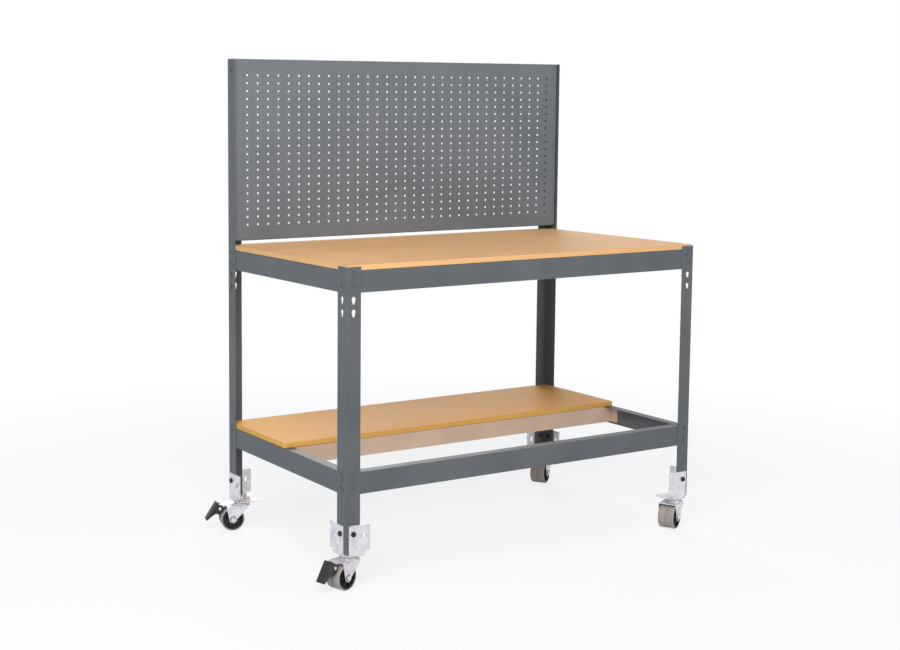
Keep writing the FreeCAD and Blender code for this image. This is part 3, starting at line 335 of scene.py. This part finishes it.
def particle_board(name, colour, dark, edge_colour):
    """Pressed chips: streaks along the board, small flakes, and open pores on the sawn edges."""
    finish, place = new_finish(name, Metallic=0.0, IOR=1.45)
    edges, normal = edge_mask_and_normal(place, BOARD_EDGE)
    facing = place.node("ShaderNodeNewGeometry", out="Normal")
    upright = place.node("ShaderNodeSeparateXYZ", None, {0: facing}, out="Z")
    sawn = 1 - (upright * upright).step(0.25, 0.75)
    streaks = place.stretched(2.2, 42.0, 42.0).noise(1.0, 5.0)
    grain = place.stretched(14.0, 210.0, 210.0).noise(1.0, 4.0)
    drift = place.noise(3.0, 2.0)
    cells = {"Vector": place.stretched(CHIP_LENGTHS, CHIP_WIDTHS, CHIP_WIDTHS), "Scale": 1.0}
    chips = place.node("ShaderNodeTexVoronoi", None, cells, out="Color")
    chip_tone = place.node("ShaderNodeSeparateColor", None, {0: chips})
    tone = (0.45 * streaks + 0.35 * grain + 0.35 * drift + 0.16 * chip_tone).step(0.42, 0.86)
    face = tone.colour(tint(*dark), tint(*colour))
    specks = place.noise(900.0, 2.0).step(0.66, 0.74)
    face = (specks * 0.30).colour(face, tint(*RESIN_BROWN))
    crumbs = place.stretched(1.0, 1.0, 2.4).noise(420.0, 3.0)
    pores = crumbs.step(0.60, 0.72)
    side = (crumbs.step(0.3, 0.62)).colour(tint(*edge_colour), tint(*colour))
    side = (pores * 0.45).colour(side, tint(*RESIN_BROWN))
    board = sawn.colour(face, side)
    (edges * 0.35).colour(board, tint(*dark)).into("Base Color")
    (0.52 + 0.16 * tone + 0.16 * sawn).into("Roughness")
    relief(grain * (1 - sawn) * 0.35 + sawn * crumbs, CHIP_DEPTH, normal)
    return finish


def make_board(node, name, finish, slot):
    """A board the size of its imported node, with round corners and sanded arrises."""
    low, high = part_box(node)
    shape = bmesh.new()
    plan = []
    ends = ((high.x, high.y), (low.x, high.y), (low.x, low.y), (high.x, low.y))
    for quarter, (x, y) in enumerate(ends):
        centre_x = x - math.copysign(BOARD_CORNER, x - (low.x + high.x) / 2)
        centre_y = y - math.copysign(BOARD_CORNER, y - (low.y + high.y) / 2)
        for k in range(CORNER_STEPS + 1):
            angle = math.radians(90 * (quarter + k / CORNER_STEPS))
            x_here = centre_x + BOARD_CORNER * math.cos(angle)
            y_here = centre_y + BOARD_CORNER * math.sin(angle)
            plan.append(shape.verts.new((x_here, y_here, low.z)))
    lifted = bmesh.ops.extrude_face_region(shape, geom=[shape.faces.new(plan)])["geom"]
    upper = [item for item in lifted if isinstance(item, bmesh.types.BMVert)]
    bmesh.ops.translate(shape, verts=upper, vec=(0, 0, high.z - low.z))
    rims = [e for e in shape.edges if abs(e.verts[0].co.z - e.verts[1].co.z) < 1e-6]
    bmesh.ops.bevel(shape, geom=rims, offset=BOARD_ARRIS, segments=2, affect="EDGES")
    make_piece(shape, name, finish, slot, "table", node)


top_finish = particle_board("worktop_board", TOP_TAN, TOP_TAN_DARK, TOP_EDGE)
shelf_finish = particle_board("shelf_board", SHELF_TAN, SHELF_TAN_DARK, SHELF_EDGE)
make_board("work_top", "worktop", top_finish, "worktop_board")
make_board("lower_shelf", "shelf", shelf_finish, "shelf_board")

# ---- Back panel -------------------------------------------------------------------------------
# One sheet of 1.5 mm steel, perforated on a grid for tool hooks and folded into a shallow pan
# whose side lips are bolted to the rear posts. The enamel is a lighter grey than the frame's.
PANEL_GREY = (108, 113, 119)
PANEL_SHADE = (100, 106, 113)
# pale colour of the flecks, and of the highlight painted along the panel's edges
PANEL_EDGE = (150, 154, 158)
panel_enamel = enamel("panel_enamel", PANEL_GREY, PANEL_SHADE, PANEL_EDGE, 0.30)
dress(panel_enamel, "back_panel")

# ---- Bolts ------------------------------------------------------------------------------------
# Hexagon bolts with washers, each with its nut inside the angle: M6 through the panel's lips,
# zinc plated, and M8 through the brackets, blacked in hot salts and oiled. The black of the M8
# bolts and their washers is also painted shade, standing for the dark round their heads.
ZINC = (229, 227, 233)
ZINC_DULL = (208, 206, 214)
ZINC_WARM = (222, 214, 206)
# black oxide colours of the M8 bolts, dark also as painted shade round their heads
OXIDE_AND_SHADE_BLACK = (58, 58, 62)
OXIDE_AND_SHADE_DULL = (40, 40, 43)
OXIDE_AND_SHADE_BROWN = (62, 54, 48)
# radius of the shank, width across flats and height of the head and of the nut
M6 = (0.003, 0.0096, 0.0042)
M8 = (0.004, 0.0128, 0.0056)
WASHER_THICKNESS = 0.0012
WASHER_REACH = 0.66
THREAD_PITCH = 0.00125
THREAD_DEPTH = 0.0005
THREAD_END = 0.002
THREAD_INSIDE, THREAD_CHAMFER = 0.0002, 0.0003
HEAD_DISH = 0.0002
HEXAGON_SIDES = 36
SHANK_SIDES = 24
PLATED_EDGE = 0.0006
SCRATCH_DEPTH = 0.00003


def plated_steel(name, colour, dull, warm, gloss, streak):
    """Bright zinc plating: mottled, faintly warm in places, scratched along one direction, with a
    painted highlight along its edges.
    """
    finish, place = new_finish(name, IOR=1.5)
    edges, normal = edge_mask_and_normal(place, PLATED_EDGE)
    mottle = place.noise(60.0, 4.0).step(0.35, 0.65)
    bloom = place.noise(14.0, 3.0).step(0.45, 0.75)
    scratches = place.stretched(90.0, 90.0, 1400.0 * streak + 90.0).noise(1.0, 3.0)
    plate = mottle.colour(tint(*dull), tint(*colour))
    plate = (bloom * 0.30).colour(plate, tint(*warm))
    # edges lifted toward the brighter tone: a painted highlight
    (edges * 0.4).colour(plate, tint(*colour)).into("Base Color")
    (0.60 + 0.14 * mottle).into("Metallic")
    (gloss + 0.14 * scratches + 0.08 * bloom).into("Roughness")
    relief(scratches, SCRATCH_DEPTH, normal)
    return finish


zinc_hardware = plated_steel("zinc_hardware", ZINC, ZINC_DULL, ZINC_WARM, 0.26, 0.0)
# the M8 bolts and washers: black oxide, darkened also as painted shade round their heads
dark_hardware = plated_steel("dark_hardware", OXIDE_AND_SHADE_BLACK, OXIDE_AND_SHADE_DULL, OXIDE_AND_SHADE_BROWN, 0.30, 0.0)


def hexagonal(across_flats):
    """How far a hexagon reaches from its middle at an angle."""
    sixth = math.pi / 3
    return lambda angle: across_flats / 2 / math.cos((angle + sixth / 2) % sixth - sixth / 2)


def hexagon_outline(across, height, start):
    """Outline of a hexagonal head or nut whose outer corners are chamfered."""
    flat = hexagonal(across)
    return [
        (flat, start),
        (flat, start + 0.80 * height),
        (lambda angle: min(flat(angle), 0.545 * across), start + 0.88 * height),
        (0.475 * across, start + height),
    ]


def threaded(radius, start, end):
    """Outline of a threaded stretch between two heights, one ring at each root and crest."""
    turns = max(2, round(abs(end - start) / THREAD_PITCH * 2))
    return [
        (radius - (THREAD_DEPTH if k % 2 else 0), start + (end - start) * k / turns)
        for k in range(turns + 1)
    ]


def add_bolt(shape, place, length, radius, across, height):
    """A bolt with the outer end of its head at the place: washer, head, shank and nut. The head
    and the nut have the same width across flats and the same height."""
    seat = -height
    washer, rise = WASHER_REACH * across, seat + WASHER_THICKNESS
    lathe(shape, place, [(0, seat), (washer, seat), (washer, rise - WASHER_THICKNESS / 4),
                         (washer - WASHER_THICKNESS / 4, rise), (0, rise)], HEXAGON_SIDES)
    head = [(0, rise)] + hexagon_outline(across, -rise, rise)
    head += [(0.3 * across, 0), (0, -HEAD_DISH)]
    lathe(shape, place, head, HEXAGON_SIDES)
    nut_seat = THREAD_END + height - length
    shank = [(0, seat), (radius, seat), (radius, nut_seat), (0, nut_seat)]
    lathe(shape, place, shank, SHANK_SIDES)
    turned_back = place @ Matrix.Translation((0, 0, nut_seat)) @ Matrix.Rotation(math.pi, 4, "X")
    end = height + THREAD_END
    nut = [(0, 0)] + hexagon_outline(across, height, 0) + [(radius, height)]
    nut += threaded(radius - THREAD_INSIDE, height, end - THREAD_CHAMFER)
    lathe(shape, turned_back, nut + [(0.6 * radius, end), (0, end)], HEXAGON_SIDES)


for node, name, kind, finish, slot in (
    ("panel_bolts", "m6_panel_bolts", M6, zinc_hardware, "zinc_hardware"),
    ("bracket_bolts", "m8_bracket_bolts", M8, dark_hardware, "dark_hardware"),
):
    bolts = bmesh.new()
    for place, length in outward_places(node, max):
        add_bolt(bolts, place, length, *kind)
    make_piece(bolts, name, finish, slot, "table", node)

# ---- Caster brackets --------------------------------------------------------------------------
# Zinc-plated 4 mm plate, one under each post: two slotted flaps folded up from a level base, with
# the corner left open round the fold of the post.
zinc_plate = plated_steel("zinc_plate", ZINC, ZINC_DULL, ZINC_WARM, 0.30, 1.0)
dress(zinc_plate, *[corner + "_bracket" for corner in CORNERS])

# ---- Kingpins, races and balls ----------------------------------------------------------------
# A riveted stem hangs each fork under its bracket. Its nut stands on the bracket; between them a
# pressed race runs on a ring of balls in the cup of the fork.
GREASED_STEEL = (150, 148, 146)
GREASED_DARK = (104, 100, 96)
STEM_NUT_ACROSS = 0.018
STEM_NUT_BORE = 0.0061
STEM_NUT_MOUTH = 0.0068
STEM_NUT_CHAMFER = 0.0008
dress(zinc_hardware, "kingpins")
dress(zinc_plate, "swivel_races")
dress(plated_steel("ball_steel", GREASED_STEEL, GREASED_DARK, ZINC_WARM, 0.2, 0.0), "ball_rings")

stem_nuts = bmesh.new()
for low, high in solids("stem_nuts"):
    place = Matrix.Translation(((low.x + high.x) / 2, (low.y + high.y) / 2, low.z))
    height = high.z - low.z
    outline = [(STEM_NUT_BORE, 0)] + hexagon_outline(STEM_NUT_ACROSS, height, 0)
    outline += [(STEM_NUT_MOUTH, height), (STEM_NUT_BORE, height - STEM_NUT_CHAMFER)]
    lathe(stem_nuts, place, outline, HEXAGON_SIDES, closed=True)
make_piece(stem_nuts, "chamfered_stem_nuts", zinc_hardware, "zinc_hardware", "table", "stem_nuts")

# ---- Forks and axles --------------------------------------------------------------------------
# Pressed 2.5 mm steel, zinc plated: a crown with the ball cup and two tapered legs. A bolt
# through the feet carries the wheel, and a black ring under its head keeps thread out.
RING_RADIUS = 0.0105
RING_BORE = 0.0085
RING_THICKNESS = 0.0016
RING_EDGE = 0.0006
RING_SIDES = 40
LEG_OUTSIDE = 0.0315
PLASTIC_EDGE = 0.0009
GRAIN_DEPTH = 0.00006
BLACK = (30, 30, 32)
BLACK_WORN = (52, 52, 55)
joints = {joint["name"]: joint for joint in frame["joints"]}


def moulded(name, colour, worn, gloss, texture):
    """Moulded plastic with a fine grain, and paler scuffs where it is handled."""
    finish, place = new_finish(name, Metallic=0.0, IOR=1.5)
    edges, normal = edge_mask_and_normal(place, PLASTIC_EDGE)
    scuffs = place.noise(40.0, 5.0).step(0.52, 0.72)
    skin = (scuffs * 0.35).colour(tint(*colour), tint(*worn))
    (edges * 0.5).colour(skin, tint(*worn)).into("Base Color")
    (gloss + 0.18 * place.noise(70.0)).into("Roughness")
    relief(place.noise(texture, 3.0), GRAIN_DEPTH, normal)
    return finish


black_plastic = moulded("pedal_plastic", BLACK, BLACK_WORN, 0.34, 1300.0)


def caster_place(corner):
    """The place of a caster: origin on the floor under its kingpin, X the way its wheel trails."""
    pin = Vector(joints[corner + "_swivel"]["pos_m"])
    hub = Vector(joints[corner + "_wheel_spin"]["pos_m"])
    heading = math.atan2(hub.y - pin.y, hub.x - pin.x)
    return Matrix.Translation((pin.x, pin.y, 0)) @ Matrix.Rotation(heading, 4, "Z")


def axle_place(corner):
    """The place of a wheel: origin in its middle, Z along the axle."""
    pin = Vector(joints[corner + "_swivel"]["pos_m"])
    hub = Vector(joints[corner + "_wheel_spin"]["pos_m"])
    trail = (hub - pin).to_2d().length
    level = Matrix.Translation((trail, 0, hub.z)) @ Matrix.Rotation(math.pi / 2, 4, "X")
    return caster_place(corner) @ level


for corner in CORNERS:
    dress(zinc_plate, corner + "_fork")
    dress(zinc_hardware, corner + "_axle")
    rings = bmesh.new()
    for side in (1, -1):
        place = axle_place(corner) @ Matrix.Scale(side, 4, (0, 0, 1))
        start, end = LEG_OUTSIDE, LEG_OUTSIDE + RING_THICKNESS
        outline = [(RING_BORE, start), (RING_RADIUS, start), (RING_RADIUS, end - RING_EDGE),
                   (RING_RADIUS - RING_EDGE, end), (RING_BORE + RING_EDGE / 2, end)]
        lathe(rings, place, outline, RING_SIDES, closed=True)
    make_piece(rings, corner + "_thread_rings", black_plastic, "pedal_plastic", corner + "_caster")

# ---- Wheels -----------------------------------------------------------------------------------
# A core of black plastic with two rims joined by a web, stiffened by ribs from hub to rim, and
# two treads of grey rubber moulded on it with a groove between them.
WHEEL_SIDES = 96
RIB_COUNT = 6
RIB_HALF_FOOT, RIB_HALF_CREST = 0.00143, 0.00088
RIB_HUB_END, RIB_RIM_END = 0.0100, 0.0317
RIB_FOOT, RIB_CREST_AT_HUB, RIB_CREST_AT_RIM = 0.0145, 0.0262, 0.0235
TREAD_GREY = (150, 141, 139)
TREAD_DUSTY = (168, 160, 156)
RUBBER_EDGE = 0.0008
MOULD_DEPTH = 0.00008
wheel_black = moulded("wheel_core", BLACK, BLACK_WORN, 0.42, 900.0)


def rubber(name, colour, dusty):
    """Moulded rubber: matt, dusty in patches, with fine mould texture."""
    finish, place = new_finish(name, Metallic=0.0, IOR=1.52)
    edges, normal = edge_mask_and_normal(place, RUBBER_EDGE)
    dust = place.noise(35.0, 5.0).step(0.4, 0.7)
    specks = place.noise(700.0, 2.0).step(0.62, 0.72)
    skin = (dust * 0.6 + edges * 0.4).held().colour(tint(*colour), tint(*dusty))
    (specks * 0.25).colour(skin, tint(*BLACK_WORN)).into("Base Color")
    (0.58 + 0.22 * dust).into("Roughness")
    relief(place.noise(1100.0, 2.0), MOULD_DEPTH, normal)
    return finish


tread_rubber = rubber("tread_rubber", TREAD_GREY, TREAD_DUSTY)


def bow(middle, level, radius, start, end, steps):
    """Points of an arc in an outline of radius and height, between two angles in degrees."""
    for k in range(steps + 1):
        angle = math.radians(start + (end - start) * k / steps)
        yield middle + radius * math.cos(angle), level + radius * math.sin(angle)


def mirrored(points):
    """An outline and its mirror image below the middle of the wheel."""
    return points + [(radius, -height) for radius, height in reversed(points)]


TREAD, RIM, HALF_WIDTH, GROOVE = 0.040, 0.036, 0.027, 0.003
SHOULDER, GROOVE_LIP, GROOVE_WALL, GROOVE_ROOT = 0.0036, 0.0008, 0.0013, 0.0012
# radius, and distance from the middle of the wheel, in metres
tread_outline = mirrored(
    [(RIM, HALF_WIDTH), (TREAD - SHOULDER, HALF_WIDTH)]
    + list(bow(TREAD - SHOULDER, HALF_WIDTH - SHOULDER, SHOULDER, 80, 0, 6))
    + list(bow(TREAD - GROOVE_LIP, GROOVE + GROOVE_LIP, GROOVE_LIP, 0, -90, 3))
    + list(bow(TREAD - GROOVE_WALL, GROOVE - GROOVE_ROOT, GROOVE_ROOT, 90, 180, 4))
)
core_outline = mirrored(
    [(0.00506, 0.0285), (0.0095, 0.0285), (0.0103, 0.0277), (0.0108, 0.0165), (0.0125, 0.015),
     (0.0296, 0.015), (0.0311, 0.0165), (0.0315, 0.0262), (0.0323, 0.027), (RIM, 0.027)]
)
for corner in CORNERS:
    place = axle_place(corner)
    tread = bmesh.new()
    lathe(tread, place, tread_outline, WHEEL_SIDES, closed=True)
    make_piece(tread, corner + "_twin_tread", tread_rubber, "tread_rubber",
               corner + "_roller", corner + "_tyre")
    core = bmesh.new()
    lathe(core, place, core_outline, WHEEL_SIDES, closed=True)
    for k in range(RIB_COUNT * 2):
        turn = Matrix.Rotation(2 * math.pi * (k // 2) / RIB_COUNT, 4, "Z")
        flip = Matrix.Scale(1 if k % 2 else -1, 4, (0, 0, 1))
        for vertex in bmesh.ops.create_cube(core, size=1)["verts"]:
            at_hub, at_foot = vertex.co.x < 0, vertex.co.z < 0
            radial = RIB_HUB_END if at_hub else RIB_RIM_END
            across = math.copysign(RIB_HALF_FOOT if at_foot else RIB_HALF_CREST, vertex.co.y)
            crest = RIB_CREST_AT_HUB if at_hub else RIB_CREST_AT_RIM
            deep = RIB_FOOT if at_foot else crest
            vertex.co = place @ turn @ flip @ Vector((radial, across, deep))
    make_piece(core, corner + "_ribbed_core", wheel_black, "wheel_core",
               corner + "_roller", corner + "_wheel")

# ---- Brake pedals -----------------------------------------------------------------------------
# Black nylon levers on a headed steel pin through the ears of the fork: two cheeks with round
# hubs, a treadle with grip ribs, and a shoe that bears on the treads when it is pressed down.
# Outlines are in millimetres from the pin: away from the swivel axis, and up.
PEDAL_HALF = 17.0
CHEEK_NEAR, CHEEK_FAR = 12.4, 16.4
HUB_INSIDE = 12.3
HUB_RADIUS = 12.5
HUB_BORE = 3.2
HUB_EDGE, BORE_EDGE = 0.8, 0.4
HUB_SIDES = 48
TREADLE = [(6.6, 16.0), (7.4, 18.6), (9.6, 20.0), (12.0, 19.0), (47.0, -35.6), (46.9, -38.0),
           (45.0, -39.3), (42.6, -38.2)]
SHOE = [(-6, -9.5), (-4.2, -16.8), (1, -19.6), (6, -21), (13, -16), (12, -9.5)]
CHEEK = [(-5, 9.5), (2, 14.6), (9, 17.4), (11, 15.4), (42.5, -33.5), (39.5, -35), (26, -24.5),
         (12.5, -16.5), (5, -16), (-5, -9.5)]
GRIP_RIB = [(0, -1), (0.44, 0.9), (1.1, 1), (1.76, 0.9), (2.2, -1)]
GRIP_RIBS = 7
FIRST_GRIP, LAST_GRIP = 0.08, 0.88
GRIP_INSET = 2.5
TREADLE_SOFT, CHEEK_SOFT, GRIP_SOFT = 0.0007, 0.0006, 0.0003


def add_slab(shape, place, outline, near, far, soften):
    """A flat outline in the XZ plane of its place, from one Y to another, its edges rounded."""
    ring = [shape.verts.new(place @ Vector((x, near, z))) for x, z in outline]
    before = set(shape.verts) - set(ring)
    across = (place.to_3x3() @ Vector((0, 1, 0))) * (far - near)
    made = bmesh.ops.extrude_face_region(shape, geom=[shape.faces.new(ring)])["geom"]
    moved = [item for item in made if isinstance(item, bmesh.types.BMVert)]
    bmesh.ops.translate(shape, verts=moved, vec=across)
    own = [edge for edge in shape.edges if not (before & set(edge.verts))]
    bmesh.ops.bevel(shape, geom=own, offset=soften, segments=3, affect="EDGES", profile=0.5)


for corner in ("front_left", "rear_left"):
    dress(zinc_hardware, corner + "_pedal_pin")
    pin = Vector(joints[corner + "_swivel"]["pos_m"])
    pivot = Vector(joints[corner + "_brake_press"]["pos_m"])
    place = caster_place(corner) @ Matrix.Translation(((pivot - pin).to_2d().length, 0, pivot.z))
    millimetres = place @ Matrix.Scale(0.001, 4)
    pedal = bmesh.new()
    add_slab(pedal, millimetres, TREADLE, -PEDAL_HALF, PEDAL_HALF, TREADLE_SOFT)
    add_slab(pedal, millimetres, SHOE, -PEDAL_HALF, PEDAL_HALF, CHEEK_SOFT)
    hub = [(HUB_BORE, HUB_INSIDE), (HUB_RADIUS, HUB_INSIDE),
           (HUB_RADIUS, PEDAL_HALF - HUB_EDGE), (HUB_RADIUS - HUB_EDGE, PEDAL_HALF),
           (HUB_BORE + BORE_EDGE, PEDAL_HALF), (HUB_BORE, PEDAL_HALF - BORE_EDGE)]
    for side in (1, -1):
        add_slab(pedal, millimetres, CHEEK, side * CHEEK_NEAR, side * CHEEK_FAR, CHEEK_SOFT)
        along_pin = Matrix.Rotation(math.pi / 2, 4, "X") @ Matrix.Scale(-side, 4, (0, 0, 1))
        lathe(pedal, millimetres @ along_pin, hub, HUB_SIDES, closed=True)
    top, foot = Vector(TREADLE[3]), Vector(TREADLE[4])
    down = (foot - top).normalized()
    out = Vector((-down.y, down.x))
    for k in range(GRIP_RIBS):
        start = top.lerp(foot, FIRST_GRIP + (LAST_GRIP - FIRST_GRIP) * k / (GRIP_RIBS - 1))
        rib = [tuple(start + down * along + out * rise) for along, rise in GRIP_RIB]
        end = PEDAL_HALF - GRIP_INSET
        add_slab(pedal, millimetres, rib, -end, end, GRIP_SOFT)
    make_piece(pedal, corner + "_ribbed_pedal", black_plastic, "pedal_plastic",
               corner + "_brake", corner + "_brake_pedal")

# ---- Floor ------------------------------------------------------------------------------------
# A plain pale studio floor, wide enough to pass out of sight in every direction, on which the
# shadow under the table stays soft and faint.
FLOOR_REACH = 60.0
SHADOW_SHARE = 0.22
SHADOW_NEAR, SHADOW_FAR = 1.2, 3.2
floor_mesh = bpy.data.meshes.new("studio_floor")
floor_mesh.from_pydata(
    [(-FLOOR_REACH, -FLOOR_REACH, 0), (FLOOR_REACH, -FLOOR_REACH, 0),
     (FLOOR_REACH, FLOOR_REACH, 0), (-FLOOR_REACH, FLOOR_REACH, 0)], [], [(0, 1, 2, 3)])
floor = bpy.data.objects.new("studio_floor", floor_mesh)
bpy.context.collection.objects.link(floor)
floor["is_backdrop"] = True

pale, place = new_finish("pale_floor", Roughness=0.9, Base_Color=(0.9, 0.9, 0.9, 1.0))
floor_mesh.materials.append(pale)
distance = place.node("ShaderNodeVectorMath", {"operation": "LENGTH"}, {0: place}, out=1)
rays = "ShaderNodeLightPath"
seen = place.node(rays, out="Is Camera Ray").larger(place.node(rays, out="Is Glossy Ray"))
seen = seen.larger(place.node(rays, out="Is Transmission Ray"))
white = place.node("ShaderNodeEmission", None, {"Color": (1, 1, 1, 1), "Strength": 1.0})
shaded = Wire(place.tree, place.tree.nodes["Principled BSDF"].outputs[0])
share = seen * ((1 - SHADOW_SHARE) + SHADOW_SHARE * distance.step(SHADOW_NEAR, SHADOW_FAR))
blend = place.node("ShaderNodeMixShader", None, {0: share, 1: shaded, 2: white})
place.tree.links.new(blend.socket, place.tree.nodes["Material Output"].inputs["Surface"])

# ---- Light ------------------------------------------------------------------------------------
# Soft studio light: a large warm panel high on the left, weaker ones in front and behind, a low
# cool one on the left, and a plain pale surround that metal and enamel show as white.
SURROUND_LIGHT = (0.13, 0.22, 0.32, 1.0)
SURROUND_SEEN = (1.0, 1.0, 1.0, 1.0)
GLOSSY_SHARE = 0.75
world = bpy.data.worlds.new("studio_surround")
bpy.context.scene.world = world
world.use_nodes = True
tree = world.node_tree
direct = Wire(tree, tree.nodes.new(rays).outputs["Is Camera Ray"])
glossy = direct.node(rays, out="Is Glossy Ray")
through = direct.node(rays, out="Is Transmission Ray")
shown = direct.larger(glossy * GLOSSY_SHARE).larger(through)
pale_light = shown.colour(SURROUND_LIGHT, SURROUND_SEEN)
tree.links.new(pale_light.socket, tree.nodes["Background"].inputs["Color"])

# name, place, width of the panel in metres, watts, colour
LAMPS = (
    ("key", (-2.7, -2.9, 3.9), 3.6, 242, (1.0, 0.92, 0.84)),
    ("front", (1.8, -4.8, 2.2), 2.6, 54, (1.0, 0.89, 0.78)),
    ("left", (-4.6, -2.2, 0.9), 2.0, 25, (0.76, 0.91, 1.0)),
    ("back", (2.4, 4.6, 3.6), 3.0, 118, (1.0, 0.97, 0.93)),
)
TABLE_MIDDLE = Vector((0, 0, 0.8))
for name, at, width, power, colour in LAMPS:
    lamp = bpy.data.lights.new(name, "AREA")
    lamp.size = width
    lamp.energy = power
    lamp.color = colour
    holder = bpy.data.objects.new(name, lamp)
    holder.location = at
    holder.rotation_euler = (TABLE_MIDDLE - Vector(at)).to_track_quat("-Z", "Y").to_euler()
    bpy.context.collection.objects.link(holder)

# ---- Camera -----------------------------------------------------------------------------------
# At standing height, in front of the table and to its left. It looks slightly down, and is shifted
# a little so that the table stands in the middle of the frame.
LOOKS_DOWN, TURNED = 5.728, 29.454
camera = bpy.data.cameras.new("camera")
camera.lens = 58.362
camera.sensor_width = 36.0
camera.shift_x = 0.1738
camera.shift_y = -0.08
viewer = bpy.data.objects.new("camera", camera)
viewer.location = (-2.89616, -3.98111, 1.43337)
viewer.rotation_euler = (math.radians(90 - LOOKS_DOWN), 0, math.radians(-TURNED))
bpy.context.collection.objects.link(viewer)
bpy.context.scene.camera = viewer
bpy.context.scene.view_settings.view_transform = "Standard"

low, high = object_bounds()
sizes = {"cad": [list(point) for point in cad_box], "visual": [list(low), list(high)]}
